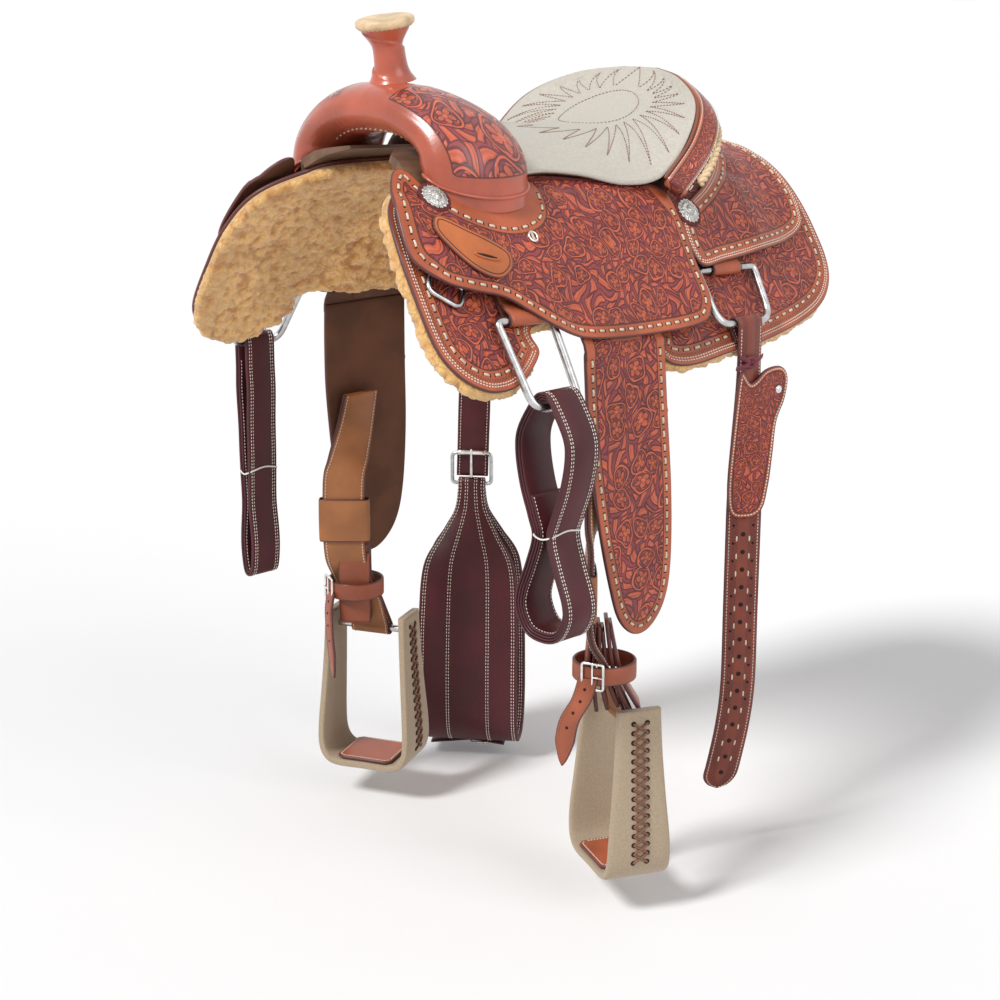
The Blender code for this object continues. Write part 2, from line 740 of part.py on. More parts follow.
def tied_latigo(name, width, wall, spread, drop, side, finish):
    """A long strap wound up, slipped over the dee's lower bar and tied at its waist."""
    bar = front_dee_foot(side)
    top = DEE_WIRE + 0.0026 + wall / 2
    narrow = wall / 2 + 0.0035
    half = [(0.80 * top, 0.60 * top), (0.90 * spread, -0.10 * drop), (spread, -0.20 * drop),
            (0.80 * spread, -0.34 * drop), (mix(narrow, spread, 0.25), -0.47 * drop), (narrow, -0.56 * drop),
            (0.55 * spread, -0.69 * drop), (0.93 * spread, -0.82 * drop), (0.96 * spread, -0.90 * drop),
            (0.60 * spread, -0.98 * drop)]
    loop = [(0.0, top)] + half + [(0.0, -drop)] + [(-x, z) for x, z in reversed(half)]
    path = [bar + Vector((side * p.x, 0, p.y)) for p in smooth_loop([Vector((*p, 0)) for p in loop], 2)]
    item = strap(name, path, (0, 1, 0), width, wall, finish, closed=True)
    return set_origin(item, bar)


def billet_bar(side):
    """The middle of the rear dee's lower bar, under the billet."""
    return on_side(BILLET_RUN, BILLET_Y, rear_dee_lift(BILLET_RUN), side)


def billet_head(side):
    """The fold of a billet over a rear dee's lower bar, from its hem under the dee to the front ply."""
    bar = billet_bar(side)
    flank = section(BILLET_RUN, BILLET_Y)[2]
    down_slope = Vector((side * cos(flank), 0, -sin(flank)))
    reach = DEE_WIRE + 0.0016 + STRAP_LEATHER / 2
    start = pi * 1.5 - flank
    fold = [mix(start, 0.0, i / 7) for i in range(8)]
    path = [bar + Vector((side * cos(turn), 0, sin(turn))) * reach for turn in fold]
    hem = [path[0] + down_slope * 0.022, path[0] + down_slope * 0.011]
    return hem + path


def build_near_billet():
    """The long billet on the near side, with its shaped keeper."""
    path = billet_head(1)
    face = path[-1].x
    path += [Vector((face, BILLET_Y, z)) for z in (-0.200, -0.300, -0.420, -0.540, -0.640)]
    for inward, ahead, z in ((0.004, 0.003, -0.700), (0.014, 0.007, -0.760), (0.019, 0.010, -0.785),
                             (0.021, 0.011, -0.796)):
        path.append(Vector((face - inward, BILLET_Y - ahead, z)))
    widths = [BILLET_WIDTH] * (len(path) - 2) + [BILLET_WIDTH * 0.8, BILLET_WIDTH * 0.4]
    billet = strap("rear_billet_left", path, (0, 1, 0), widths, STRAP_LEATHER, "plain")
    set_origin(billet, billet_bar(1))
    outline = rounded([(-0.024, -0.218), (0.022, -0.218), (0.060, -0.226), (0.070, -0.238), (0.052, -0.264),
                       (0.042, -0.300), (0.034, -0.348), (0.024, -0.400), (0.003, -0.414), (-0.023, -0.406),
                       (-0.025, -0.320)])
    front = face + STRAP_LEATHER / 2 + PLY_GAP
    plate("rear_billet_keeper", outline,
          lambda y, z, depth: Vector((front + depth, BILLET_Y + y, z)), 0.0045, "carved")


def flank_across():
    return Vector((sin(FLANK_TWIST), cos(FLANK_TWIST), 0))


def flank_back():
    """The way from the flank buckle's front to its back."""
    return Vector((-cos(FLANK_TWIST), sin(FLANK_TWIST), 0))


def flank_bar():
    """The middle of the flank buckle's lower bar, just in front of the billet's foot."""
    return Vector((billet_head(-1)[-1].x, FLANK_Y, BUCKLE_BAR_Z)) - flank_back() * BUCKLE_FRONT


def build_flank_billet():
    """The off billet behind, twisted as it hangs, down to its buckle."""
    path = billet_head(-1)
    across = [Vector((0, 1, 0))] * len(path)
    top = Vector((path[-1].x, BILLET_Y, -0.200))
    foot = flank_bar() + flank_back() * BUCKLE_FRONT + Vector((0, 0, 0.0100))
    for i in range(9):
        share = i / 8
        path.append(mix(top, foot, share))
        turn = FLANK_TWIST * smooth_step(min(share / 0.8, 1.0))
        across.append(Vector((sin(turn), cos(turn), 0)))
    billet = strap("flank_billet_right", path, across, BILLET_WIDTH, STRAP_LEATHER, "maroon")
    set_origin(billet, billet_bar(-1))


def build_flank_buckle():
    """A roller buckle of round wire with its tongue."""
    bar = flank_bar()
    half = flank_across() * (BUCKLE_WIDTH / 2)
    up = Vector((0, 0, BUCKLE_HEIGHT))
    corners = [bar - half, bar + half, bar + half + up, bar - half + up]
    frame = rounded_corners(corners, (0.006, 0.006, 0.008, 0.008))
    set_origin(wire("flank_buckle", frame, SMALL_WIRE, "steel"), bar + up)
    front = bar - flank_back() * BUCKLE_FRONT
    tip = front + up + Vector((0, 0, 0.006))
    tongue = [front + Vector((0, 0, 0.0105)), mix(front + Vector((0, 0, 0.0105)), tip, 0.5), tip]
    set_origin(wire("flank_buckle_tongue", tongue, 0.0020, "steel", closed=False), bar)


def build_flank_cinch():
    """The wide flank cinch, doubled, hanging as a loop from the buckle's lower bar."""
    bar = flank_bar()
    top = SMALL_WIRE + 0.0012 + CINCH_LEATHER / 2
    half = [(0.80 * top, 0.60 * top, 0.040), (top, -0.010, 0.040), (0.009, -0.040, 0.050),
            (0.020, -0.075, 0.088), (0.032, -0.120, 0.136), (0.044, -0.200, 0.148), (0.052, -0.295, 0.150),
            (0.048, -0.360, 0.150), (0.026, -0.391, 0.150)]
    loop = [(0.0, top, 0.040)] + half + [(0.0, -0.397, 0.150)]
    loop += [(-x, z, width) for x, z, width in reversed(half)]
    smooth = smooth_loop([Vector(p) for p in loop], 2)
    path = [bar + flank_back() * p.x + Vector((0, 0, p.y)) for p in smooth]
    widths = [p.z for p in smooth]
    cinch = strap("flank_cinch", path, flank_across(), widths, CINCH_LEATHER, "maroon", closed=True)
    set_origin(cinch, bar)


# Fender, stirrup leather and stirrup


def mirrored(point, side):
    return Vector((side * point.x, point.y, point.z))


def lift_axis():
    """A point on the line at the jockey's edge about which the fender lifts."""
    return on_side(LIFT_RUN, SWING_Y, LIFT_FACE)


FENDER = [(-0.074, 0.0), (-0.073, -0.060), (-0.069, -0.125), (-0.055, -0.217), (-0.036, -0.285),
          (-0.018, -0.335), (0.003, -0.362), (0.030, -0.357), (0.057, -0.330), (0.072, -0.280),
          (0.077, -0.190), (0.072, -0.090), (0.068, 0.0)]


def build_fender(side, word):
    half = LEATHER_WIDTH / 2
    ends = [(0.160, SWING_Y - half), (0.160, SWING_Y + half)]
    ends += [(LIFT_RUN - HINGE_GAP, SWING_Y + half), (LIFT_RUN - HINGE_GAP, SWING_Y - half)]
    top = sheet("leather_top_" + word, ends, level(LIFT_FACE - FENDER_LEATHER), level(LIFT_FACE), side, "plain")
    set_origin(top, Vector((side * lift_axis().x, SWING_Y, SWING_Z)))
    hinge = lift_axis()

    def corner(y, z, depth):
        drop = z - HINGE_GAP / 2
        return Vector((side * (hinge.x - FENDER_LEAN * drop - depth), SWING_Y + y, hinge.z + drop))

    fender = plate("fender_" + word, FENDER, corner, FENDER_LEATHER, "carved")
    set_origin(fender, mirrored(hinge, side))


LEATHER_RUN = [
    # centre, twist of the leather's face from sideways toward the front
    ((0.228, -0.068, -0.285), 0.0),
    ((0.229, -0.078, -0.330), 8.0),
    ((0.230, -0.090, -0.375), 26.0),
    ((0.231, -0.098, -0.410), 45.0),
    ((0.231, -0.098, -0.505), 45.0),
    ((0.235, -0.082, -0.545), 50.0),
    ((0.238, -0.060, -0.585), 60.0),
]


def build_stirrup_leather(side, word):
    """Two plies of leather that come down behind the fender and turn round the stirrup's bolt."""
    gap = STRAP_LEATHER / 2 + 0.0005
    reach = BOLT_RADIUS + 0.0012 + STRAP_LEATHER / 2
    down, back, turns = [], [], []
    for centre, twist in LEATHER_RUN:
        angle = radians(twist)
        normal = Vector((cos(angle), sin(angle), 0))
        down.append(Vector(centre) - normal * gap)
        back.append(Vector(centre) + normal * gap)
        turns.append(Vector((-sin(angle), cos(angle), 0)))
    axis = Vector((-cos(STIRRUP_YAW), sin(STIRRUP_YAW), 0))
    normal = Vector((sin(STIRRUP_YAW), cos(STIRRUP_YAW), 0))
    eye = []
    for turn in (150, 180, 215, 270, 325, 0, 30):
        angle = radians(turn)
        eye.append(BOLT_CENTRE + normal * (reach * cos(angle)) + Vector((0, 0, reach * sin(angle))))
    path = down + eye + back[::-1]
    across = turns + [axis] * len(eye) + turns[::-1]
    path = [mirrored(p, side) for p in path]
    across = [mirrored(a, side) for a in across]
    item = strap("stirrup_leather_" + word, path, across, LEATHER_WIDTH, STRAP_LEATHER, "plain")
    set_origin(item, mirrored(lift_axis(), side))


def build_buckle_sleeve(side, word):
    """The leather sleeve that slides up and down over the stirrup leather's buckle."""
    centre = Vector(LEATHER_RUN[3][0]) * 0.5 + Vector(LEATHER_RUN[4][0]) * 0.5
    centre.z = SLEEVE_Z
    across = Vector((-sin(SLEEVE_TWIST), cos(SLEEVE_TWIST), 0))
    normal = Vector((cos(SLEEVE_TWIST), sin(SLEEVE_TWIST), 0))
    rings = []
    for up in (-0.5, 0.5):
        level_centre = centre + Vector((0, 0, up * SLEEVE_HEIGHT))
        ring = ellipse_ring(level_centre, across * 0.0350, normal * 0.0088, 20, 5.0)
        rings.append([mirrored(p, side) for p in ring])
    item = hollow_loft("buckle_sleeve_" + word, rings, 0.0022, "plain")
    set_origin(item, mirrored(centre, side))


def build_hobble_strap(side, word):
    """The short strap buckled round the leathers above the stirrup, with its hanging end."""
    centre = Vector((0.2365, -0.0745, HOBBLE_Z))
    first = Vector((cos(radians(45)), sin(radians(45)), 0))
    second = Vector((-first.y, first.x, 0))
    path = []
    for i in range(24):
        angle = 2 * pi * i / 24
        path.append(centre + first * (0.0382 * cos(angle)) + second * (0.0374 * sin(angle)))
    path = [mirrored(p, side) for p in path]
    band = strap("hobble_strap_" + word, path, (0, 0, 1), 0.024, 0.0036, "plain", closed=True)
    start = centre - second * 0.0384 - first * 0.010
    tail = smooth_path([start + Vector((0, 0, -0.004)), start - second * 0.008 + Vector((0, 0, -0.030)),
                        start - second * 0.012 - first * 0.018 + Vector((0, 0, -0.072)),
                        start - second * 0.010 - first * 0.026 + Vector((0, 0, -0.114))], 3)
    tail = [mirrored(p, side) for p in tail]
    widths = [0.024] * (len(tail) - 2) + [0.018, 0.006]
    end = strap("hobble_end_" + word, tail, mirrored(first, side), widths, 0.0036, "plain")
    unite(band, end)
    set_origin(band, mirrored(lift_axis(), side))


def use_as_cutter(item):
    PARTS.objects.unlink(item)
    CUTTERS.objects.link(item)
    item.hide_render = True
    item.display_type = "WIRE"


def boolean(target, tool, operation):
    use_as_cutter(tool)
    step = target.modifiers.new(operation.lower(), "BOOLEAN")
    step.operation = operation
    step.solver = "EXACT"
    step.object = tool
    return target


def unite(target, tool):
    return boolean(target, tool, "UNION")


STIRRUP_SIDE = [
    # half width out from the middle, height, half depth
    (0.0560, -0.606, 0.0285),
    (0.0580, -0.660, 0.0310),
    (0.0615, -0.720, 0.0355),
    (0.0650, -0.775, 0.0405),
    (0.0640, -0.805, 0.0420),
    (0.0560, -0.822, 0.0425),
    (0.0400, -0.829, 0.0425),
]
STIRRUP_FLOOR = -0.829


def stirrup_ways(side):
    """The directions along the bolt and through the stirrup, from back to front."""
    along = mirrored(Vector((cos(STIRRUP_YAW), -sin(STIRRUP_YAW), 0)), side)
    through = mirrored(Vector((sin(STIRRUP_YAW), cos(STIRRUP_YAW), 0)), side)
    return along, through


def lathe_on(name, centre, axis, profile, count, finish):
    """A round solid along an axis, from (distance, radius) pairs."""
    first = axis.cross(Vector((0, 0, 1))).normalized()
    second = axis.cross(first)
    rings = [ellipse_ring(centre + axis * d, first * r, second * r, count) for d, r in profile]
    return loft(name, rings, finish)


def cylinder(half_length, radius):
    return [(-half_length, radius), (half_length, radius)]


def build_stirrup(side, word):
    """A bell stirrup bent from one band, its tread and the bolt that carries it."""
    along, through = stirrup_ways(side)
    centre = mirrored(BOLT_CENTRE, side)
    half = [(out, z - BOLT_CENTRE.z, depth) for out, z, depth in STIRRUP_SIDE]
    run = half + [(0.0, STIRRUP_FLOOR - BOLT_CENTRE.z, 0.0425)]
    run += [(-out, z, depth) for out, z, depth in reversed(half)]
    rings = []
    for i, (out, z, depth) in enumerate(run):
        before = Vector(run[max(i - 1, 0)][:2])
        after = Vector(run[min(i + 1, len(run) - 1)][:2])
        way = (after - before).normalized()
        wall = (along * -way.y + Vector((0, 0, way.x))) * (STIRRUP_WALL / 2)
        point = centre + along * out + Vector((0, 0, z))
        ring = []
        for u, v in ((-1, -0.5), (-0.86, -1), (0.86, -1), (1, -0.5), (1, 0.5), (0.86, 1), (-0.86, 1), (-1, 0.5)):
            ring.append(point + through * (depth * u) + wall * v)
        rings.append(ring)
    stirrup = loft("stirrup_" + word, rings, "roughout")
    reach = STIRRUP_SIDE[0][0] + 0.0010
    hole = lathe_on("bolt_hole_" + word, centre, along, cylinder(reach, BOLT_RADIUS + 0.0005), 16, "steel")
    boolean(stirrup, hole, "DIFFERENCE")
    set_origin(stirrup, centre)
    bolt = lathe_on("stirrup_bolt_" + word, centre, along, cylinder(reach - 0.0006, BOLT_RADIUS), 16, "steel")
    set_origin(bolt, centre)
    floor = centre + Vector((0, 0, STIRRUP_FLOOR - BOLT_CENTRE.z + STIRRUP_WALL / 2 + 0.0004))
    outline = [(-0.036, -0.031), (-0.030, -0.036), (0.030, -0.036), (0.036, -0.031),
               (0.036, 0.031), (0.030, 0.036), (-0.030, 0.036), (-0.036, 0.031)]
    tread = plate("stirrup_tread_" + word, outline,
                  lambda a, b, depth: floor + along * a + through * b + Vector((0, 0, depth)), 0.0045, "plain")
    set_origin(tread, centre)


def main():
    build_bars()
    build_fork()
    build_horn()
    build_seat()
    build_cantle()
    build_latigo_keeper()
    for side, word in ((1, "left"), (-1, "right")):
        build_side_leathers(side, word)
        build_concho("concho_front_" + word, 0.146, -0.268, side)
        build_concho("concho_rear_" + word, 0.187, 0.138, side)
        build_dees(side, word)
        build_fender(side, word)
        build_stirrup_leather(side, word)
        build_buckle_sleeve(side, word)
        build_hobble_strap(side, word)
        build_stirrup(side, word)
    tied_latigo("latigo_left", LATIGO_WIDTH, LATIGO_WALL, 0.037, 0.272, 1, "maroon")
    tied_latigo("off_billet_right", BILLET_WIDTH, 0.007, 0.0105, 0.318, -1, "maroon")
    build_near_billet()
    build_flank_billet()
    build_flank_buckle()
    build_flank_cinch()


clear_scene()
PARTS = make_collection(COLLECTION)
CUTTERS = make_collection("cutters")
FINISHES = make_finishes()
main()
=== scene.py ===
"""The looks of a team roping saddle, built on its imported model.

X points to the horse's left, the front of the saddle faces minus Y and Z is up, in metres. Leathers are
cut flat and laid on the saddle. A cut leather keeps two facts at every point, which its material reads:
its flat place, as UV in metres, and its distance from its own edge, as the attribute "edge".
"""
from functools import partial
from math import cos, pi, radians, sin

import bmesh
import bpy
import numpy as np
from mathutils import Matrix, Vector, noise


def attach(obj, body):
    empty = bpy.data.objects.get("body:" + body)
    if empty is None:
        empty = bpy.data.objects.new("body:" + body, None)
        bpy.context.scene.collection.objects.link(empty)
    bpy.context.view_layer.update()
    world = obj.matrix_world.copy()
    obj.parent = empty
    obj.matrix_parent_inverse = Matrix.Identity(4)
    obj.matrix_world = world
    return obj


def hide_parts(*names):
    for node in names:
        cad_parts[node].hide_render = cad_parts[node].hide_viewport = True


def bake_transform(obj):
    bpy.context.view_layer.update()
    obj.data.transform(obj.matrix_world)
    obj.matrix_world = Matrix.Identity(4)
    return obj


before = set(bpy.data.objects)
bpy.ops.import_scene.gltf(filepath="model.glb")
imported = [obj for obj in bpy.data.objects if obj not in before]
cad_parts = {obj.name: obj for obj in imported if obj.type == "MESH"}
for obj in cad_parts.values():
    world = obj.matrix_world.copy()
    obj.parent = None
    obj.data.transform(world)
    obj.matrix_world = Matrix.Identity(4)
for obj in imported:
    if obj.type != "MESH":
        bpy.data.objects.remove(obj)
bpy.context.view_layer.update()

# The saddle's side, as the model has it
FRONT_STATION = -0.33
REAR_STATION = 0.40
FRONT_SECTION = {"ridge": 0.086, "crown": radians(22), "flank": radians(58), "bend": 0.26}
REAR_SECTION = {"ridge": 0.045, "crown": radians(6), "flank": radians(62), "bend": 0.22}
FENDER_HOLLOW = 0.009
SKIRT_GIVE = 0.010
SKIRT_LEATHER = 0.005
FLEECE = 0.014
JOCKEY_LEATHER = 0.0045
FENDER_LEATHER = 0.005
STRAP_LEATHER = 0.0035
CINCH_LEATHER = 0.0045
BAR_WOOD = 0.012
PLY_GAP = 0.0008
RIGGING_ROOM = 0.0158

# Fender, stirrup and straps, as the model has them
SWING_Y = -0.046
LIFT_RUN = 0.3435
LIFT_FACE = 0.0125
HINGE_GAP = 0.0034
FENDER_LEAN = 0.05
LEATHER_WIDTH = 0.058
BOLT_CENTRE = Vector((0.238, -0.044, -0.630))
BOLT_RADIUS = 0.005
STIRRUP_YAW = radians(25)
STIRRUP_FLOOR = -0.829
STIRRUP_WALL = 0.011
SLEEVE_TWIST = radians(45)
SLEEVE_Z = -0.461
SLEEVE_HEIGHT = 0.060
HOBBLE_Z = -0.562
DEE_WIRE = 0.0048
DEE_LIFT = 0.0079
SMALL_WIRE = 0.0028
WRAP_PLY = 0.0024
FRONT_DEE_RUN = 0.299
FRONT_DEE_END = 0.408
FRONT_DEE_Y = -0.207
REAR_DEE_RUN = 0.262
REAR_DEE_Y = 0.180
BILLET_RUN = 0.338
BILLET_Y = 0.176
BILLET_WIDTH = 0.047
LATIGO_WIDTH = 0.051
LATIGO_WALL = 0.012
FLANK_TWIST = radians(52)
FLANK_Y = 0.166
BUCKLE_HEIGHT = 0.046
BUCKLE_WIDTH = 0.058
BUCKLE_BAR_Z = -0.4585
BUCKLE_FRONT = 0.0060
CONCHO_RADIUS = 0.0165
HORN_BASE = Vector((0.0, -0.206, 0.1516))
HORN_TOP = Vector((0.0, -0.2155, 0.2110))
HORN_LEAN = (HORN_TOP - HORN_BASE).normalized()

# Colours, linear
PLAIN = (0.52, 0.122, 0.050)
SALMON = (0.53, 0.108, 0.056)
CARVED_HIGH = (0.62, 0.115, 0.052)
CARVED_LOW = (0.190, 0.031, 0.036)
# The line colour darkens the carving's cuts, its border line and its stamp pits: antique stain held in them,
# deepened with painted shade of their depth.
CARVED_LINE = (0.055, 0.011, 0.014)
CARVED_WORN = (0.33, 0.066, 0.052)
FLESH = (0.155, 0.065, 0.034)
MAROON = (0.082, 0.010, 0.014)
DARK_EDGE = (0.075, 0.026, 0.030)
SUEDE = (0.56, 0.525, 0.455)
LACE = (0.70, 0.60, 0.45)
RAWHIDE = (0.76, 0.55, 0.32)
# The deep wool colour is painted shade for the hollows between the locks.
WOOL_PAINTED_SHADE = (0.60, 0.265, 0.060)
WOOL_TIP = (0.98, 0.585, 0.205)
ROUGHOUT = (0.42, 0.325, 0.225)
THREAD = (0.80, 0.74, 0.64)
STEEL = (0.62, 0.62, 0.62)
SILVER = (0.90, 0.88, 0.84)

# Sizes of stitches: length, gap, width and rise
SEAM_STITCH = (0.0028, 0.0014, 0.0015, 0.0007)
STRAP_STITCH = (0.0030, 0.0014, 0.0011, 0.0006)
LATIGO_STITCH = (0.0030, 0.0015, 0.0011, 0.0006)
CINCH_STITCH = (0.0032, 0.0018, 0.0012, 0.0006)
BAND_STITCH = (0.0028, 0.0014, 0.0011, 0.0006)
SEAT_STITCH = (0.0034, 0.0016, 0.0011, 0.0008)
HORN_STITCH = (0.0036, 0.0022, 0.0014, 0.0007)
GULLET_LACE = (0.0032, 0.0056, 0.0022, 0.0012)
BILLET_LACE = (0.0080, 0.0160, 0.0022, 0.0009)
THREAD_LIFT = 0.0003
FAR_FROM_EDGE = 0.02


# Number helpers


def mix(a, b, share):
    return a + (b - a) * share


def ramp(value, start, end):
    """Zero before start, one past end, a straight line between. Takes numbers or arrays."""
    return np.clip((value - start) / (end - start), 0.0, 1.0)


def smooth_step(share):
    share = np.clip(share, 0.0, 1.0)
    return share * share * (3 - 2 * share)


def unit(vectors):
    vectors = np.asarray(vectors, float)
    length = np.linalg.norm(vectors, axis=-1, keepdims=True)
    return vectors / np.maximum(length, 1e-12)


def smooth_curve(points, steps, closed=False):
    """A smooth curve through the given points, with steps from each to the next."""
    points = np.asarray(points, float)
    count = len(points)
    path = []
    for i in range(count if closed else count - 1):
        around = [(i + k) % count if closed else min(max(i + k, 0), count - 1) for k in (-1, 0, 1, 2)]
        before, start, end, after = points[around]
        for k in range(steps):
            t = k / steps
            path.append(0.5 * (2 * start + (end - before) * t
                               + (2 * before - 5 * start + 4 * end - after) * t * t
                               + (3 * start - before - 3 * end + after) * t ** 3))
    if not closed:
        path.append(points[-1])
    return np.array(path)


def arc_lengths(points):
    """How far along a path each of its points is."""
    return np.concatenate([[0], np.cumsum(np.linalg.norm(np.diff(points, axis=0), axis=1))])


def read_at(stops, reach, data):
    """Rows of data at stops along a path, where reach is how far along it each row is."""
    return np.stack([np.interp(stops, reach, column) for column in data.T], axis=1)


def closed_line(points):
    return np.vstack([points, points[:1]])


def resample(points, spacing, closed=False):
    """Points evenly spaced along a path, about the given spacing apart."""
    points = closed_line(points) if closed else np.asarray(points, float)
    reach = arc_lengths(points)
    count = max(int(round(reach[-1] / spacing)), 2)
    stops = np.linspace(0, reach[-1], count + 1)
    return read_at(stops[:-1] if closed else stops, reach, points)


def mirrored(points, side):
    return np.asarray(points, float) * np.array([side, 1, 1])


def ring(first, second, count, power=2, start=0.0):
    """Offsets round a ring that reaches as far as first and second. A power over two squares it off."""
    angles = np.linspace(start, start + 2 * pi, count, endpoint=False)
    c, s = np.cos(angles), np.sin(angles)
    size = (np.abs(c) ** power + np.abs(s) ** power) ** (-1 / power)
    return np.outer(c * size, first) + np.outer(s * size, second)


# The saddle's side


def fender_place(run, y):
    """One where the fender and its leather hang, falling to nothing round about."""
    along = np.minimum(ramp(y, -0.165, -0.125), 1 - ramp(y, 0.05, 0.12))
    return along * ramp(run, 0.225, 0.325)


def section(run, y):
    """Distance out, height and slope of the skirt's outer face."""
    along = (y - FRONT_STATION) / (REAR_STATION - FRONT_STATION)
    shape = {key: mix(FRONT_SECTION[key], REAR_SECTION[key], along) for key in FRONT_SECTION}
    steps = 24
    out, height = 0.0 * run, shape["ridge"] + 0.0 * run
    for i in range(steps):
        slope = mix(shape["crown"], shape["flank"], smooth_step((i + 0.5) * run / steps / shape["bend"]))
        out = out + np.cos(slope) * run / steps
        height = height - np.sin(slope) * run / steps
    slope = mix(shape["crown"], shape["flank"], smooth_step(run / shape["bend"]))
    return out, height, slope


def on_side(run, y, lift=0.0, side=1):
    run, y, lift = np.broadcast_arrays(np.asarray(run, float), np.asarray(y, float), np.asarray(lift, float))
    out, height, slope = section(run, y)
    lift = lift - FENDER_HOLLOW * fender_place(run, y)
    return np.stack([side * (out + np.sin(slope) * lift), y, height + np.cos(slope) * lift], axis=-1)


def bar_top(run, y):
    across = np.minimum(ramp(run, 0.035, 0.075), 1 - ramp(run, 0.100, 0.150))
    along = 1 - 0.6 * ramp(y, 0.16, 0.28)
    return PLY_GAP + 0.003 + (BAR_WOOD - 0.003) * across * along


def jockey_under(run, y):
    """Lift of the underside of the jockeys, which pass over the bars, the rigging and the leathers."""
    over_bars = (bar_top(run, y) + PLY_GAP) * (1 - ramp(run, 0.150, 0.175)) * (1 - ramp(y, 0.29, 0.35))
    along = ramp(y, -0.345, -0.315) * (1 - ramp(y, 0.26, 0.34))
    over_rigging = RIGGING_ROOM * ramp(run, 0.100, 0.150) * along
    return np.maximum(np.maximum(over_bars, over_rigging), PLY_GAP)


def skirt_face(depth):
    return lambda run, y: -depth - SKIRT_GIVE * fender_place(run, y)


def above(under, thickness):
    return lambda a, b: under(a, b) + thickness


def level(height):
    return lambda a, b: height + 0.0 * a


# Making objects


def read_all(items, key, width=1, kind=float):
    """One property of every vertex or corner of a mesh, as rows of the given width."""
    values = np.zeros(len(items) * width, kind)
    items.foreach_get(key, values)
    return values.reshape(-1, width) if width > 1 else values


def make_object(name, points, faces, flat=None, edge=None):
    """A smooth-shaded mesh object. Flat gives each point's UV and edge its distance from the edge."""
    mesh = bpy.data.meshes.new(name)
    mesh.from_pydata(np.asarray(points, float).tolist(), [], faces)
    mesh.update()
    mesh.shade_smooth()
    if flat is not None:
        corners = read_all(mesh.loops, "vertex_index", kind=np.int32)
        layer = mesh.uv_layers.new(name="flat")
        layer.data.foreach_set("uv", np.asarray(flat, np.float32)[corners].ravel())
    if edge is not None:
        layer = mesh.attributes.new("edge", "FLOAT", "POINT")
        layer.data.foreach_set("value", np.asarray(edge, np.float32).ravel())
    return add_object(name, mesh)


def add_object(name, data):
    item = bpy.data.objects.new(name, data)
    bpy.context.scene.collection.objects.link(item)
    return item


def settle(item, body, finish, *nodes):
    """Give a piece its material, the body that it rides on and the CAD nodes that it stands for."""
    item.data.materials.clear()
    item.data.materials.append(FINISHES[finish])
    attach(item, body)
    if nodes:
        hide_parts(*nodes)
    return item


def turn_outward(item):
    shape = bmesh.new()
    shape.from_mesh(item.data)
    bmesh.ops.recalc_face_normals(shape, faces=shape.faces[:])
    shape.to_mesh(item.data)
    shape.free()
    return item


def grid_faces(rows, columns, along=False, around=False):
    faces = []
    for i in range(rows if along else rows - 1):
        j = (i + 1) % rows
        for k in range(columns if around else columns - 1):
            m = (k + 1) % columns
            faces.append((i * columns + k, i * columns + m, j * columns + m, j * columns + k))
    return faces


def surface(name, grid, along=False, around=False, caps=False, edge=None):
    """A surface over a grid of points, with UVs in metres. It can close either way round and be capped."""
    grid = np.asarray(grid, float)
    rows, columns = grid.shape[:2]
    v = np.concatenate([[0], np.cumsum(np.linalg.norm(np.diff(grid, axis=0), axis=2).mean(axis=1))])
    u = np.concatenate([[0], np.cumsum(np.linalg.norm(np.diff(grid, axis=1), axis=2).mean(axis=0))])
    flat = np.stack(np.meshgrid(u, v), axis=-1).reshape(-1, 2)
    faces = grid_faces(rows, columns, along, around)
    if caps:
        faces.append(tuple(range(columns)))
        faces.append(tuple((rows - 1) * columns + k for k in range(columns)))
    edge = np.full(rows * columns, FAR_FROM_EDGE) if edge is None else np.ravel(edge)
    return turn_outward(make_object(name, grid.reshape(-1, 3), faces, flat, edge))


def tube(name, path, radius, closed=False, sides=12):
    """A round cord or wire along a path, with rounded ends."""
    path = np.asarray(path, float)
    radii = np.broadcast_to(np.asarray(radius, float), len(path))
    if not closed:
        first, last = unit(path[1] - path[0]), unit(path[-1] - path[-2])
        path = np.vstack([path[0] - first * radii[0] * 0.6, path, path[-1] + last * radii[-1] * 0.6])
        radii = np.concatenate([[radii[0] * 0.5], radii, [radii[-1] * 0.5]])
    ahead = np.roll(path, -1, 0) if closed else np.vstack([path[1:], path[-1:]])
    behind = np.roll(path, 1, 0) if closed else np.vstack([path[:1], path[:-1]])
    tangent = unit(ahead - behind)
    across = np.cross(tangent[0], (0, 0, 1.0))
    if np.linalg.norm(across) < 0.1:
        across = np.cross(tangent[0], (0, 1.0, 0))
    rings = []
    for spot, way, radius in zip(path, tangent, radii):
        across = unit(across - way * np.dot(across, way))
        rings.append(spot + ring(across, np.cross(way, across), sides) * radius)
    return surface(name, rings, along=closed, around=True, caps=not closed)


def join(name, items):
    """One object from several."""
    shape = bmesh.new()
    for item in items:
        shape.from_mesh(item.data)
        bpy.data.objects.remove(item)
    mesh = bpy.data.meshes.new(name)
    shape.to_mesh(mesh)
    shape.free()
    mesh.shade_smooth()
    return add_object(name, mesh)


# Cut leathers

BURNISHED = 0.0035


def outline_distance(points, outline):
    """For each flat point: its distance inside the outline, negative outside, and the nearest edge point."""
    best = np.full(len(points), np.inf)
    nearest = np.zeros_like(points)
    inside = np.zeros(len(points), bool)
    for start, end in zip(outline, np.roll(outline, -1, 0)):
        way = end - start
        share = np.clip(((points - start) @ way) / max(way @ way, 1e-18), 0, 1)
        spot = start + share[:, None] * way
        gap = np.linalg.norm(points - spot, axis=1)
        closer = gap < best
        best = np.where(closer, gap, best)
        nearest = np.where(closer[:, None], spot, nearest)
        spans = (start[1] > points[:, 1]) != (end[1] > points[:, 1])
        with np.errstate(divide="ignore", invalid="ignore"):
            cross = start[0] + (points[:, 1] - start[1]) * way[0] / way[1]
        inside ^= spans & (points[:, 0] < cross)
    return np.where(inside, best, -best), nearest


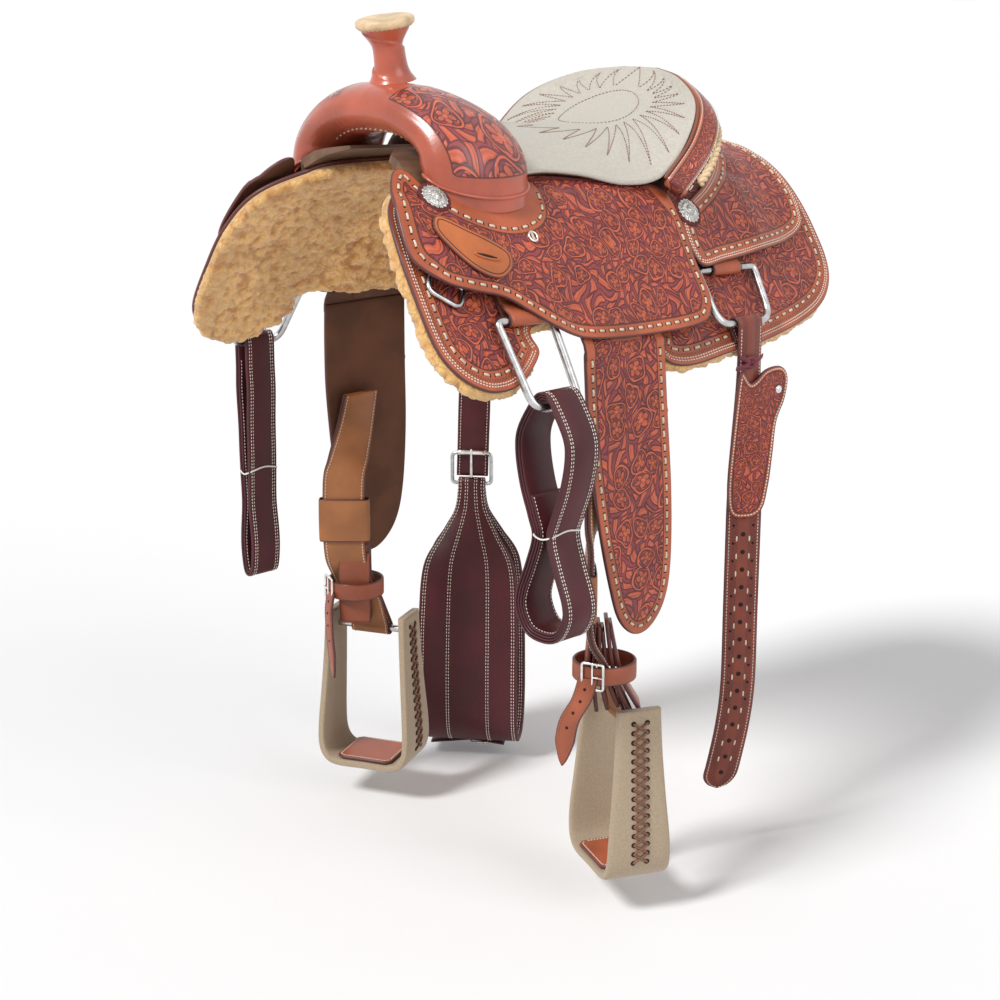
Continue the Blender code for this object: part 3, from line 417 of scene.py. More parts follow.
def cut(name, outline, place, under, over, pitch=0.004, trim=None):
    """A leather cut to a flat outline, with rounded edges, laid where place(a, b, lift) says.

    Its edge distances are below nothing on the flesh side. Where the border of its carving follows
    another outline, that outline is its trim.
    """
    low, high = outline.min(0) - pitch / 2, outline.max(0) + pitch
    a = np.arange(low[0], high[0], pitch)
    b = np.arange(low[1], high[1], pitch)
    flat = np.stack(np.meshgrid(a, b, indexing="ij"), axis=-1).reshape(-1, 2)
    depth, nearest = outline_distance(flat, outline)
    good = depth > -0.45 * pitch
    quads = np.array(grid_faces(len(a), len(b)))
    quads = quads[good[quads].all(axis=1)]
    links = np.sort(np.stack([quads, np.roll(quads, -1, 1)], axis=-1).reshape(-1, 2), axis=1)
    pairs, uses = np.unique(links, axis=0, return_counts=True)
    rim_pairs = pairs[uses == 1]
    rim = np.unique(rim_pairs)
    used = np.unique(quads)
    number = np.full(len(flat), -1)
    number[used] = np.arange(len(used))
    inward = unit(flat[rim] - nearest[rim]) * np.sign(depth[rim])[:, None]
    inward[np.abs(depth[rim]) < 1e-6] = 0.0
    on_rim = nearest[rim]
    shoulder = min(0.0014, pitch * 0.4)
    flat[rim] = on_rim + inward * shoulder
    depth[rim] = shoulder
    if trim is not None:
        to_trim, _ = outline_distance(flat[used], trim)
        covered = depth[used] > to_trim + 0.0005
        depth[used] = np.where(covered, np.maximum(to_trim, BURNISHED), to_trim)
    layers = [(flat[used], depth[used], 1.0), (flat[used], -depth[used], 0.0)]
    for pull, height in ((0.3, 0.86), (0.0, 0.5), (0.3, 0.14)):
        layers.append((on_rim + inward * (shoulder * pull), np.zeros(len(rim)), height))
    points = []
    for spots, _, height in layers:
        x, y = spots.T
        points.append(place(x, y, mix(under(x, y), over(x, y), height)))
    faces = number[quads].tolist()
    faces += (number[quads][:, ::-1] + len(used)).tolist()
    place_in_rim = {old: i for i, old in enumerate(rim)}
    first_ring = 2 * len(used)
    for start, end in rim_pairs:
        i, j = place_in_rim[start], place_in_rim[end]
        ladder = [(number[start], number[end])]
        ladder += [(first_ring + k * len(rim) + i, first_ring + k * len(rim) + j) for k in range(3)]
        ladder += [(number[start] + len(used), number[end] + len(used))]
        for (p, q), (r, s) in zip(ladder, ladder[1:]):
            faces.append((p, q, s, r))
    flats, edges = zip(*[(spots, edge) for spots, edge, _ in layers])
    item = make_object(name, np.vstack(points), faces, np.vstack(flats), np.concatenate(edges))
    return turn_outward(item)


def inward_ways(line):
    """The way in from a closed flat line at each of its points."""
    way = unit(np.roll(line, -1, 0) - np.roll(line, 1, 0))
    x, y = line.T
    turning = np.sign(np.sum(x * np.roll(y, -1) - np.roll(x, -1) * y))
    return np.stack([-way[:, 1], way[:, 0]], axis=1) * turning


def inset(outline, distance):
    """The line that runs a distance inside a closed outline."""
    dense = resample(outline, 0.001, closed=True)
    moved = dense + inward_ways(dense) * distance
    depth, _ = outline_distance(moved, outline)
    return moved[depth > distance - 0.0003]


def lay(place, over, flat, lift=0.0):
    """A flat line laid on a leather: its points and the way off the leather at each."""
    height = over(flat[:, 0], flat[:, 1])
    points = place(flat[:, 0], flat[:, 1], height + lift)
    off = unit(place(flat[:, 0], flat[:, 1], height + lift + 0.001) - points)
    return points, off


def stitches(name, points, off, size, shifts=(0.0,)):
    """A row of stitches along a laid line, each a short crowned ribbon that dips in at its ends."""
    length, gap, width, rise = size
    reach = arc_lengths(points)
    starts = np.arange(gap, reach[-1] - length, length + gap)
    starts = np.concatenate([starts + shift for shift in shifts])
    begin, way = read_at(starts, reach, points), read_at(starts + length, reach, points)
    way = way - begin
    up = unit(read_at(starts + length / 2, reach, off))
    keep = np.linalg.norm(way, axis=1) > 0.8 * length
    begin, way, up = begin[keep], way[keep], up[keep]
    across = unit(np.cross(way, up))
    profile = ((0.0, -0.6, 0.6), (0.12, 0.5, 0.95), (0.5, 1.0, 1.0), (0.88, 0.5, 0.95), (1.0, -0.6, 0.6))
    rows = []
    for share, height, wide in profile:
        for out, crown in ((-1, -0.25), (-0.55, 0.8), (0.55, 0.8), (1, -0.25)):
            rows.append(begin + way * share + up * (rise * (height + crown - 0.8))
                        + across * (out * wide * width / 2))
    points = np.stack(rows, axis=1)
    block = np.array(grid_faces(len(profile), 4))
    faces = (block[None] + (np.arange(len(points)) * len(rows))[:, None, None]).reshape(-1, 4)
    return make_object(name, points.reshape(-1, 3), faces.tolist())


def laced(name, points, off, body):
    """Rawhide lace run in and out of punched slits along a laid line."""
    lace, gap, slit = 0.0092, 0.0080, 0.0017
    settle(stitches(name, points + off * 0.0005, off, (lace, gap, 0.0032, 0.0010)), body, "lace")
    between = lace + gap - slit
    ends = [gap - between - slit * 0.75, gap - between + lace - slit * 0.25]
    # The slits are dark strips of painted shade where the lace goes into the leather.
    row = stitches(name + "_slits", points, off, (slit, between, 0.0052, 0.0004), ends)
    settle(row, body, "hole")


def buckstitch(name, place, over, line, body):
    """Buckstitching along a flat line on a leather."""
    laced(name, *lay(place, over, line, 0.0001), body)


def seam(name, place, over, line, body):
    """A machine-sewn row of short stitches along a flat line."""
    settle(stitches(name, *lay(place, over, line, 0.0002), SEAM_STITCH), body, "thread")


# Materials


class Value:
    """An output in a material's graph. Sums and products of outputs are written in the ordinary way."""

    def __init__(self, graph, socket):
        self.graph = graph
        self.socket = socket

    def math(self, operation, other=0.0):
        return self.graph.math(operation, self, other)

    def __add__(self, other):
        return self.math("ADD", other)

    def __sub__(self, other):
        return self.math("SUBTRACT", other)

    def __rsub__(self, other):
        return self.graph.math("SUBTRACT", other, self)

    def __mul__(self, other):
        return self.math("MULTIPLY", other)

    def __abs__(self):
        return self.math("ABSOLUTE")

    def sine(self):
        return self.math("SINE")

    def smooth(self, start, end):
        """Nothing before start, one past end and a smooth step between."""
        inputs = {"Value": self, "From Min": start, "From Max": end}
        return self.graph.node("ShaderNodeMapRange", inputs, interpolation_type="SMOOTHSTEP")("Result")

    def within(self, limit, softness):
        """One where the value is under the limit."""
        return 1.0 - self.smooth(limit - softness, limit)


class Graph:
    """Builds a material's nodes. A value given to a node is a number, a colour or another node's output."""

    def __init__(self, name):
        self.material = bpy.data.materials.new(name)
        self.material.use_nodes = True
        self.tree = self.material.node_tree
        self.shader = self.tree.nodes["Principled BSDF"]

    def put(self, value, socket):
        if isinstance(value, Value):
            self.tree.links.new(value.socket, socket)
        elif isinstance(value, tuple) and socket.type == "RGBA":
            socket.default_value = (*value, 1.0)
        else:
            socket.default_value = value

    def node(self, kind, inputs, **settings):
        """Add a node, and return the function that gives its outputs by name or number."""
        node = self.tree.nodes.new(kind)
        for key, value in settings.items():
            setattr(node, key, value)
        for key, value in inputs.items():
            self.put(value, node.inputs[key])
        return lambda key: Value(self, node.outputs[key])

    def math(self, operation, a, b):
        return self.node("ShaderNodeMath", {0: a, 1: b}, operation=operation)(0)

    def vector(self, operation, a, b):
        return self.node("ShaderNodeVectorMath", {0: a, 1: b}, operation=operation)(0)

    def scaled(self, a, size):
        return self.node("ShaderNodeVectorMath", {0: a, "Scale": size}, operation="SCALE")(0)

    def blend(self, share, a, b):
        return self.node("ShaderNodeMix", {0: share, 6: a, 7: b}, data_type="RGBA")(2)

    def noise(self, place, scale, detail=3.0, roughness=0.5, output="Fac"):
        inputs = {"Vector": place, "Scale": scale, "Detail": detail, "Roughness": roughness}
        return self.node("ShaderNodeTexNoise", inputs)(output)

    def voronoi(self, place, scale, feature="F1", flat=False, randomness=1.0):
        inputs = {"Vector": place, "Scale": scale, "Randomness": randomness}
        size = "2D" if flat else "3D"
        return self.node("ShaderNodeTexVoronoi", inputs, feature=feature, voronoi_dimensions=size)

    def place(self):
        return self.node("ShaderNodeTexCoord", {})("Object")

    def flat(self):
        return self.node("ShaderNodeUVMap", {}, uv_map="flat")("UV")

    def edge(self):
        return self.node("ShaderNodeAttribute", {}, attribute_name="edge")("Fac")

    def parts(self, vector):
        output = self.node("ShaderNodeSeparateXYZ", {0: vector})
        return output(0), output(1)

    def bump(self, height, distance, strength, normal=None):
        inputs = {"Height": height, "Distance": distance, "Strength": strength}
        if normal is not None:
            inputs["Normal"] = normal
        return self.node("ShaderNodeBump", inputs)(0)

    def done(self, color, roughness, normal=None, **settings):
        settings.update({"Base Color": color, "Roughness": roughness})
        if normal is not None:
            settings["Normal"] = normal
        for key, value in settings.items():
            self.put(value, self.shader.inputs[key.replace("_", " ")])
        return self.material


def shade(color, share):
    return tuple(c * share for c in color)


def most(first, *others):
    for other in others:
        first = first.math("MAXIMUM", other)
    return first


def floral(g, flat, cell):
    """Flower-and-scroll carving: its height, and the dark lines pressed round the shapes, which are antique
    stain held in the cuts deepened with painted shade of the bevels.

    Each cell has a flower in a ring of stem, with leaves between the rings.
    """
    drift = g.vector("SUBTRACT", g.noise(flat, 0.75 / cell, 1.0, output="Color"), (0.5, 0.5, 0.5))
    place = g.vector("ADD", g.scaled(flat, 1 / cell), g.scaled(drift, 0.9))
    cells = g.voronoi(place, 1.0, flat=True, randomness=0.75)
    border = g.voronoi(place, 1.0, "DISTANCE_TO_EDGE", flat=True, randomness=0.75)("Distance")
    x, y = g.parts(g.vector("SUBTRACT", place, cells("Position")))
    radius = (x.math("POWER", 2.0) + y.math("POWER", 2.0)).math("SQRT")
    angle = y.math("ARCTAN2", x) + g.parts(cells("Color"))[0] * (2 * pi)

    petals = abs((angle * 2.5).math("COSINE"))
    into_flower = petals * 0.12 + 0.15 - radius
    veined = 1.0 - (1.0 - abs((angle * 12.5).sine())) * 0.35
    flower = into_flower.smooth(0.0, 0.035) * (veined * petals.smooth(0.0, 0.35))
    heart = radius.within(0.075, 0.02)
    from_stem = abs(radius - ((angle * 3.0).sine() * 0.03 + 0.355))
    stem = from_stem.within(0.040, 0.025)
    swirl = angle * 7.0 + radius * 13.0
    blade = swirl.sine()
    leaf = blade.smooth(-0.35, 0.15) * (abs((swirl * 1.5).sine()) * 0.4 + 0.55)
    leaf = leaf * radius.smooth(0.39, 0.45) * border.smooth(0.0, 0.045)
    inner = (angle * 5.0 - radius * 22.0).sine().smooth(0.1, 0.5)
    inner = inner * (radius.smooth(0.24, 0.28) * radius.within(0.32, 0.03))
    height = most(most(flower, heart), most(stem, leaf), inner * 0.7)

    # The lines round the shapes are antique stain in the cuts, deepened with painted shade of the bevels.
    round_flower = into_flower.smooth(-0.065, -0.035) * radius.within(0.30, 0.04)
    round_stem = from_stem.smooth(0.020, 0.034) * from_stem.within(0.090, 0.030)
    round_leaf = blade.smooth(-0.85, -0.60) * radius.smooth(0.36, 0.40)
    lines = most(round_flower, round_stem, round_leaf) * (1.0 - height.smooth(0.10, 0.60))
    return height, lines


def leather(name, plain, carve_from=None, cell=0.036, roughness=0.42, coat=0.10, dye=0.9, back=FLESH,
            border=None):
    """Tooled leather. It is carved where its edge is further than carve_from, plain nearer."""
    g = Graph(name)
    place, flat, edge = g.place(), g.flat(), g.edge()
    tone = g.noise(place, 14.0, 4.0)
    color = g.blend(tone.smooth(0.30, 0.75), shade(plain, 0.62), plain)
    pores = g.voronoi(place, 900.0)("Distance")
    normal = g.bump(pores * 0.5 + g.noise(place, 420.0, 2.0), 0.0004, 0.35)
    rough = (tone - 0.5) * 0.25 + roughness
    if carve_from is not None:
        height, lines = floral(g, flat, cell)
        field = edge.smooth(carve_from, carve_from + 0.0012)
        bead = abs(edge - carve_from).within(0.0011, 0.0006)
        patina = g.noise(flat, 24.0, 4.0).smooth(0.35, 0.65)
        low = g.blend(patina, CARVED_LOW, shade(CARVED_LOW, 1.5))
        high = g.blend(patina, shade(CARVED_HIGH, 0.72), CARVED_HIGH)
        carved = g.blend(height.smooth(0.15, 0.75), low, high)
        worn = g.noise(flat, 150.0, 4.0, 0.7).smooth(0.42, 0.72)
        # Painted highlight: the tops of the carved shapes are lightened toward a brighter plain colour,
        # standing in for light on the ridges.
        painted_ridge_highlight = tuple(min(c * 1.25, 0.75) for c in plain)
        carved = g.blend(worn * 0.45, carved, CARVED_WORN)
        # Dark lines round the shapes: antique stain, deepened with painted shade.
        carved = g.blend(lines * 0.68, carved, CARVED_LINE)
        carved = g.blend(height.smooth(0.80, 1.0) * 0.50, carved, painted_ridge_highlight)
        color = g.blend(field, color, carved)
        color = g.blend(bead * 0.75, color, CARVED_LINE)
        relief = field * (height + g.noise(flat, 900.0, 1.0) * 0.15) + (1.0 - field) * 0.85
        normal = g.bump(relief - bead, 0.0019, 1.0, normal)
        rough = rough + (1.0 - height) * (field * 0.12)
    if border:
        start, end = border
        stamped = edge.smooth(start, start + 0.0006) * edge.within(end, 0.0006)
        across, along = g.parts(g.scaled(flat, 2 * pi / 0.0042))
        pits = stamped * (across.sine() * along.sine()).smooth(-0.1, 0.5)
        color = g.blend(pits * 0.7, color, CARVED_LINE)
        normal = g.bump(1.0 - pits, 0.0008, 0.8, normal)
    if dye > 0:
        color = g.blend(edge.within(0.0026, 0.0020) * dye, color, DARK_EDGE)
    flesh = edge.within(-0.0003, 0.0008)
    color = g.blend(flesh, color, g.blend(tone.smooth(0.3, 0.7), shade(back, 0.6), back))
    return g.done(color, rough + flesh * 0.4, normal, Coat_Weight=(1.0 - flesh) * coat, Coat_Roughness=0.20,
                  Specular_IOR_Level=0.35)


def suede(name, color, depth, scale):
    g = Graph(name)
    place = g.place()
    nap = g.noise(place, scale, 5.0, 0.65)
    tint = g.blend(nap.smooth(0.3, 0.7), shade(color, depth), color)
    tint = g.blend(g.noise(place, 9.0).smooth(0.35, 0.75) * 0.35, tint, shade(color, 0.86))
    normal = g.bump(nap, 0.0006, 0.6)
    return g.done(tint, 0.92, normal, Sheen_Weight=0.25, Sheen_Roughness=0.5, Specular_IOR_Level=0.2)


def wool():
    g = Graph("woolskin")
    place = g.place()
    drift = g.scaled(g.noise(place, 70.0, 2.0, output="Color"), 0.012)
    locks = g.voronoi(g.vector("ADD", place, drift), 170.0)("Distance")
    height = g.noise(place, 620.0, 4.0, 0.7) * 0.6 - locks
    patch = g.noise(place, 16.0).smooth(0.35, 0.65)
    tip = g.blend(patch, shade(WOOL_TIP, 0.78), WOOL_TIP)
    # Painted shade: the wool darkens toward its deep colour in the hollows between the locks, read from the
    # lock height in the edge attribute and the bumps, and lightens toward the tip colour on the locks.
    color = g.blend((g.edge() + height * 0.45).smooth(-0.10, 0.62), WOOL_PAINTED_SHADE, tip)
    normal = g.bump(height, 0.0030, 0.9)
    return g.done(color, 0.95, normal, Sheen_Weight=0.5, Sheen_Roughness=0.6, Specular_IOR_Level=0.1)


def rawhide(name, color, scale=320.0):
    g = Graph(name)
    place = g.place()
    fibre = g.noise(g.vector("MULTIPLY", place, (1.0, 1.0, 3.0)), scale, 4.0)
    tint = g.blend(g.noise(place, 60.0).smooth(0.35, 0.75), color, shade(color, 0.66))
    tint = g.blend(fibre.smooth(0.45, 0.75) * 0.3, tint, shade(color, 0.5))
    return g.done(tint, 0.48, g.bump(fibre, 0.0004, 0.5), Coat_Weight=0.15, Coat_Roughness=0.3)


def metal(name, color, roughness, engraving=0.0):
    g = Graph(name)
    place = g.place()
    smear = g.noise(place, 90.0, 4.0)
    scratches = g.noise(g.vector("MULTIPLY", place, (1.0, 1.0, 9.0)), 500.0, 2.0)
    tint = g.blend(smear.smooth(0.35, 0.7), shade(color, 0.72), color)
    normal = g.bump(scratches, 0.0001, 0.12)
    if engraving > 0:
        line = g.voronoi(place, 900.0, "DISTANCE_TO_EDGE")("Distance").within(0.16, 0.10)
        tint = g.blend(line * engraving, tint, (0.05, 0.045, 0.04))
        normal = g.bump(1.0 - line, 0.0005, 0.7, normal)
    return g.done(tint, smear * 0.14 + roughness, normal, Metallic=1.0)


def thread(name, color):
    g = Graph(name)
    twist = g.noise(g.place(), 1500.0, 2.0)
    tint = g.blend(twist.smooth(0.3, 0.7), shade(color, 0.72), color)
    return g.done(tint, 0.75, g.bump(twist, 0.0003, 0.5))


def wood(name, color):
    g = Graph(name)
    rings = g.noise(g.vector("MULTIPLY", g.place(), (60.0, 6.0, 60.0)), 1.0, 4.0)
    tint = g.blend(rings.smooth(0.35, 0.65), shade(color, 0.6), color)
    return g.done(tint, 0.6, g.bump(rings, 0.0005, 0.5))


def floor_finish():
    g = Graph("floor_finish")
    specks = g.blend(g.noise(g.place(), 3.0), (0.86, 0.86, 0.86), (0.88, 0.88, 0.88))
    return g.done(specks, 0.8, Specular_IOR_Level=0.1)


FINISHES = {
    "skirt": leather("skirt_leather", PLAIN, 0.0265, border=(0.0115, 0.0165)),
    "jockey": leather("jockey_leather", PLAIN, 0.0160),
    "rear_jockey": leather("rear_jockey_leather", PLAIN, 0.0205),
    "fender": leather("fender_leather", PLAIN, 0.0165, cell=0.040),
    "swell": leather("swell_leather", SALMON, 0.0040, cell=0.046, roughness=0.30, coat=0.55, dye=0.0),
    "band": leather("band_leather", (0.62, 0.165, 0.080), 0.0062, cell=0.019, roughness=0.32, coat=0.50),
    "small_carved": leather("small_carved_leather", PLAIN, 0.0065, cell=0.022),
    "horn": leather("horn_leather", SALMON, roughness=0.30, coat=0.55, dye=0.0),
    "plain": leather("plain_leather", PLAIN),
    "keeper": leather("keeper_leather", (0.62, 0.170, 0.050)),
    "binding": leather("seat_binding_leather", (0.27, 0.080, 0.045), dye=0.0),
    "billet": leather("billet_leather", (0.24, 0.048, 0.026), border=(0.0070, 0.0165)),
    "maroon": leather("latigo_leather", MAROON, roughness=0.50, coat=0.02, dye=0.5,
                      back=(0.15, 0.028, 0.022)),
    "wine": leather("wine_lace", (0.16, 0.018, 0.035), roughness=0.5, dye=0.0),
    "dark": leather("dark_binding", (0.11, 0.030, 0.028), roughness=0.5, dye=0.0),
    # Punched holes and slits are near black: painted shade standing in for their depth.
    "hole": leather("hole_painted_shade", (0.020, 0.010, 0.009), roughness=0.9, coat=0.0, dye=0.0),
    "pinked": leather("pinked_edge", (0.15, 0.034, 0.034), roughness=0.9, coat=0.0, dye=0.0),
    "tan": leather("sleeve_leather", (0.42, 0.160, 0.055), roughness=0.5),
    "suede": suede("seat_suede", SUEDE, 0.86, 240.0),
    "roughout": suede("roughout_leather", ROUGHOUT, 0.80, 420.0),
    "strap": leather("hobble_leather", (0.36, 0.092, 0.042)),
    "brown_lace": leather("brown_lace", (0.24, 0.100, 0.055), roughness=0.6, dye=0.0),
    "wool": wool(),
    "lace": rawhide("rawhide_lace", LACE),
    "rawhide": rawhide("rawhide", RAWHIDE, 180.0),
    "steel": metal("stainless_steel", STEEL, 0.20),
    "silver": metal("silver", SILVER, 0.24, 0.45),
    "polished": metal("polished_silver", SILVER, 0.16),
    "thread": thread("white_thread", THREAD),
    "brown_thread": thread("brown_thread", (0.28, 0.150, 0.095)),
    "tie": thread("white_tie", (0.84, 0.84, 0.82)),
    # The tree's wood is dark brown as painted shade, so that where it shows between the leathers it reads as
    # shadow.
    "wood": wood("tree_wood", (0.17, 0.090, 0.050)),
}

SLOTS = {finish: "plain_leather" for finish in FINISHES}
SLOTS.update({
    "skirt": "carved_leather", "jockey": "carved_leather", "rear_jockey": "carved_leather",
    "fender": "carved_leather", "band": "carved_leather", "small_carved": "carved_leather",
    "swell": "glossy_leather", "horn": "glossy_leather", "maroon": "latigo_leather",
    "wine": "latigo_leather", "suede": "seat_suede", "roughout": "roughout_leather",
    "wool": "woolskin", "lace": "rawhide", "rawhide": "rawhide", "steel": "stainless_steel",
    "silver": "silver", "polished": "silver", "thread": "rawhide", "tie": "rawhide", "wood": "tree_wood",
})


# Outlines on the side, as (run, y). They are the model's, but for the jockeys' lower edges, which are
# trimmed by a few millimetres where the dees and the moving fender pass.

SKIRT_FRONT = [(0.072, -0.215), (0.102, -0.276), (0.142, -0.322), (0.200, -0.341), (0.260, -0.346),
               (0.318, -0.345), (0.350, -0.331), (0.370, -0.308), (0.379, -0.279), (0.372, -0.238),
               (0.340, -0.193), (0.305, -0.178)]
SKIRT_REAR = [(0.305, 0.020), (0.352, 0.030), (0.371, 0.050), (0.377, 0.085), (0.370, 0.148),
              (0.362, 0.217), (0.344, 0.305), (0.322, 0.367), (0.292, 0.403), (0.258, 0.416),
              (0.215, 0.414), (0.150, 0.405), (0.080, 0.400), (0.015, 0.398), (0.015, 0.300),
              (0.060, 0.060)]
JOCKEY_FOOT = [(0.100, -0.278), (0.105, -0.300), (0.140, -0.322), (0.182, -0.334), (0.215, -0.336),
               (0.240, -0.322), (0.253, -0.306), (0.264, -0.272), (0.275, -0.232), (0.297, -0.199),
               (0.320, -0.164), (0.332, -0.120), (0.3365, -0.071), (0.337, 0.003), (0.333, 0.088),
               (0.318, 0.111), (0.295, 0.119), (0.255, 0.117), (0.222, 0.118), (0.190, 0.120)]
JOCKEY_TOP = [(0.170, 0.112), (0.158, 0.080), (0.141, 0.020), (0.132, -0.060), (0.138, -0.108),
              (0.172, -0.127), (0.184, -0.178), (0.168, -0.230), (0.140, -0.262)]
JOCKEY_TRIM = [(0.168, 0.112), (0.128, 0.086), (0.105, 0.020), (0.100, -0.060), (0.118, -0.104),
               (0.172, -0.127), (0.184, -0.178), (0.168, -0.230), (0.140, -0.262)]
JOCKEY_TUCKED = [(0.152, 0.114), (0.139, 0.080), (0.128, 0.020), (0.119, -0.060), (0.122, -0.108),
                 (0.150, -0.136), (0.164, -0.178), (0.156, -0.228), (0.135, -0.258)]
REAR_JOCKEY = [(0.256, 0.123), (0.255, 0.178), (0.243, 0.268), (0.229, 0.340), (0.212, 0.378),
               (0.188, 0.390), (0.150, 0.392), (0.100, 0.388), (0.050, 0.380), (0.012, 0.372),
               (0.012, 0.312), (0.060, 0.300), (0.110, 0.262), (0.150, 0.200), (0.192, 0.124)]
LATIGO_KEEPER = [(0.172, -0.284), (0.190, -0.250), (0.206, -0.222), (0.222, -0.203), (0.240, -0.206),
                 (0.252, -0.226), (0.250, -0.246), (0.236, -0.268), (0.212, -0.288), (0.188, -0.298)]
FENDER = [(-0.074, 0.0), (-0.073, -0.060), (-0.069, -0.125), (-0.056, -0.217), (-0.040, -0.290),
          (-0.024, -0.338), (0.002, -0.362), (0.033, -0.359), (0.061, -0.330), (0.074, -0.280),
          (0.077, -0.190), (0.072, -0.090), (0.068, 0.0)]


def smooth_outline(corners, spacing=0.003):
    return resample(smooth_curve(corners, 8, closed=True), spacing, closed=True)


WOOL_SEED = 5


def bumpy(item, movable, size, pitch, seed):
    """Push a fleece's points out along their normals into locks of wool."""
    # Without a seed, the noise vector differs from one run to the next
    noise.seed_set(WOOL_SEED)
    mesh = item.data
    places = read_all(mesh.vertices, "co", 3)
    normals = read_all(mesh.vertices, "normal", 3)
    puffs = np.full(len(places), 0.5)
    for i in np.nonzero(movable)[0]:
        spot = Vector(places[i] * (1 / pitch)) + Vector((seed, 0, 0))
        bend = noise.noise_vector(spot * 0.8) * 0.45
        near = noise.voronoi(spot + bend)[0][0]
        curl = noise.voronoi(spot * 2.3 + bend)[0][0]
        locks = 0.60 * (1 - min(near * 1.2, 1.0) ** 2) + 0.30 * (1 - min(curl * 1.3, 1.0))
        puff = locks + 0.15 * noise.noise(spot * 0.4)
        places[i] += normals[i] * (size * puff * movable[i])
        puffs[i] = mix(0.5, puff, min(movable[i] * 2, 1))
    mesh.vertices.foreach_set("co", places.ravel())
    # Each point's lock height goes into its edge attribute, which the wool's colour reads to paint shade
    # between the locks.
    mesh.attributes["edge"].data.foreach_set("value", puffs.astype(np.float32))
    mesh.update()


def under_skirt(item, side):
    """How far below the skirt's face each point of a leather is, found from its flat place."""
    mesh = item.data
    flat = np.zeros((len(mesh.vertices), 2))
    corners = read_all(mesh.loops, "vertex_index", kind=np.int32)
    flat[corners] = read_all(mesh.uv_layers["flat"].data, "uv", 2)
    run, y = flat.T
    face = on_side(run, y, skirt_face(0.0)(run, y), side)
    off = unit(on_side(run, y, 0.001, side) - on_side(run, y, 0.0, side))
    return np.einsum("ij,ij->i", face - read_all(mesh.vertices, "co", 3), off)


def build_skirt(side, word):
    """The skirt with its sewing and lacing, and the fleece under it."""
    place = partial(on_side, side=side)
    line = smooth_outline(SKIRT_FRONT + SKIRT_REAR)
    top = skirt_face(0.0)
    item = cut("skirt_leather_" + word, line, place, skirt_face(SKIRT_LEATHER), top)
    settle(item, "saddle", "skirt", "skirt_" + word)
    sew_border("skirt", word, place, top, line, (0.0065, 0.0098, 0.0205))

    low = SKIRT_LEATHER + PLY_GAP / 2
    under = skirt_face(low + FLEECE - 0.003)
    fleece = cut("fleece_wool_" + word, line, place, under, skirt_face(low), pitch=0.0031)
    movable = smooth_step(ramp(under_skirt(fleece, side) - low, 0.0010, 0.0045))
    bumpy(fleece, movable, 0.0085, 0.0125, 3 * side)
    settle(fleece, "saddle", "wool", "fleece_" + word)


def sew_border(name, word, place, over, line, distances):
    """Two rows of sewing and one of buckstitching round a leather, each a distance inside its edge."""
    for row, distance in zip(("_seam_", "_inner_seam_"), distances):
        seam(name + row + word, place, over, inset(line, distance), "saddle")
    buckstitch(name + "_lacing_" + word, place, over, inset(line, distances[2]), "saddle")


def build_jockeys(side, word):
    """The two jockeys over the skirt, with the pinked edge beside the seat."""
    place = partial(on_side, side=side)
    over = above(jockey_under, JOCKEY_LEATHER)
    tops = (JOCKEY_TOP, JOCKEY_TUCKED, JOCKEY_TRIM)
    full, tucked, carved = [smooth_outline(JOCKEY_FOOT + top) for top in tops]
    item = cut("seat_jockey_leather_" + word, tucked, place, jockey_under, over, trim=carved)
    settle(item, "saddle", "jockey", "seat_jockey_" + word)
    lacing = inset(full, 0.0095)
    below_seat = (np.abs(lacing[:, 1]) < 0.100) & (lacing[:, 0] < 0.190)
    start = int(np.argmax(below_seat & ~np.roll(below_seat, -1))) + 1
    lacing = np.roll(lacing, -start, axis=0)[~np.roll(below_seat, -start)]
    buckstitch("seat_jockey_lacing_" + word, place, over, lacing, "saddle")
    pinks = smooth_curve(JOCKEY_TUCKED[:5], 8)
    points, off = lay(place, over, resample(pinks + (0.0050, 0.0), 0.0011))
    wave = np.sin(np.arange(len(points)) * 1.9)
    fringe = points + off * (0.0006 * wave)[:, None]
    settle(tube("seat_jockey_fringe_" + word, fringe, 0.0021 + 0.0007 * wave, sides=8), "saddle", "pinked")

    line = smooth_outline(REAR_JOCKEY)
    item = cut("rear_jockey_leather_" + word, line, place, jockey_under, over)
    settle(item, "saddle", "rear_jockey", "rear_jockey_" + word)
    sew_border("rear_jockey", word, place, over, line, (0.0045, 0.0075, 0.0145))

# The swell and the horn

FORK_RING = 72
FORK_STEPS = 8
ROLL_EDGE = radians(-62)
REAR_EDGE = radians(112)


def fork_grid():
    """Points over the swell: rows along the arch from right foot to left, columns round it."""
    foot_in, foot_out = on_side(0.092, -0.205, 0.0180), on_side(0.173, -0.174, 0.0215)
    keys = [
        # inner point, outer point, reach to the front and rear
        (0.000, -0.212, 0.088, 0.000, -0.212, 0.147, 0.046),
        (0.030, -0.208, 0.086, 0.043, -0.208, 0.144, 0.050),
        (0.055, -0.202, 0.079, 0.088, -0.199, 0.131, 0.057),
        (0.070, -0.197, 0.071, 0.127, -0.188, 0.108, 0.063),
        (0.078, -0.197, 0.067, 0.153, -0.181, 0.076, 0.067),
        (0.083, -0.201, 0.063, 0.163, -0.177, 0.042, 0.068),
        (*foot_in, *foot_out, 0.066),
    ]
    half = smooth_curve(keys, FORK_STEPS)
    rows = []
    for i in range(1 - len(half), len(half)):
        inner, outer = mirrored(half[abs(i)][:6].reshape(2, 3), -1 if i < 0 else 1)
        reach = (0, half[abs(i)][6], 0)
        rows.append((inner + outer) / 2 + ring((outer - inner) / 2, reach, FORK_RING, 2.1, start=-pi))
    return np.array(rows)


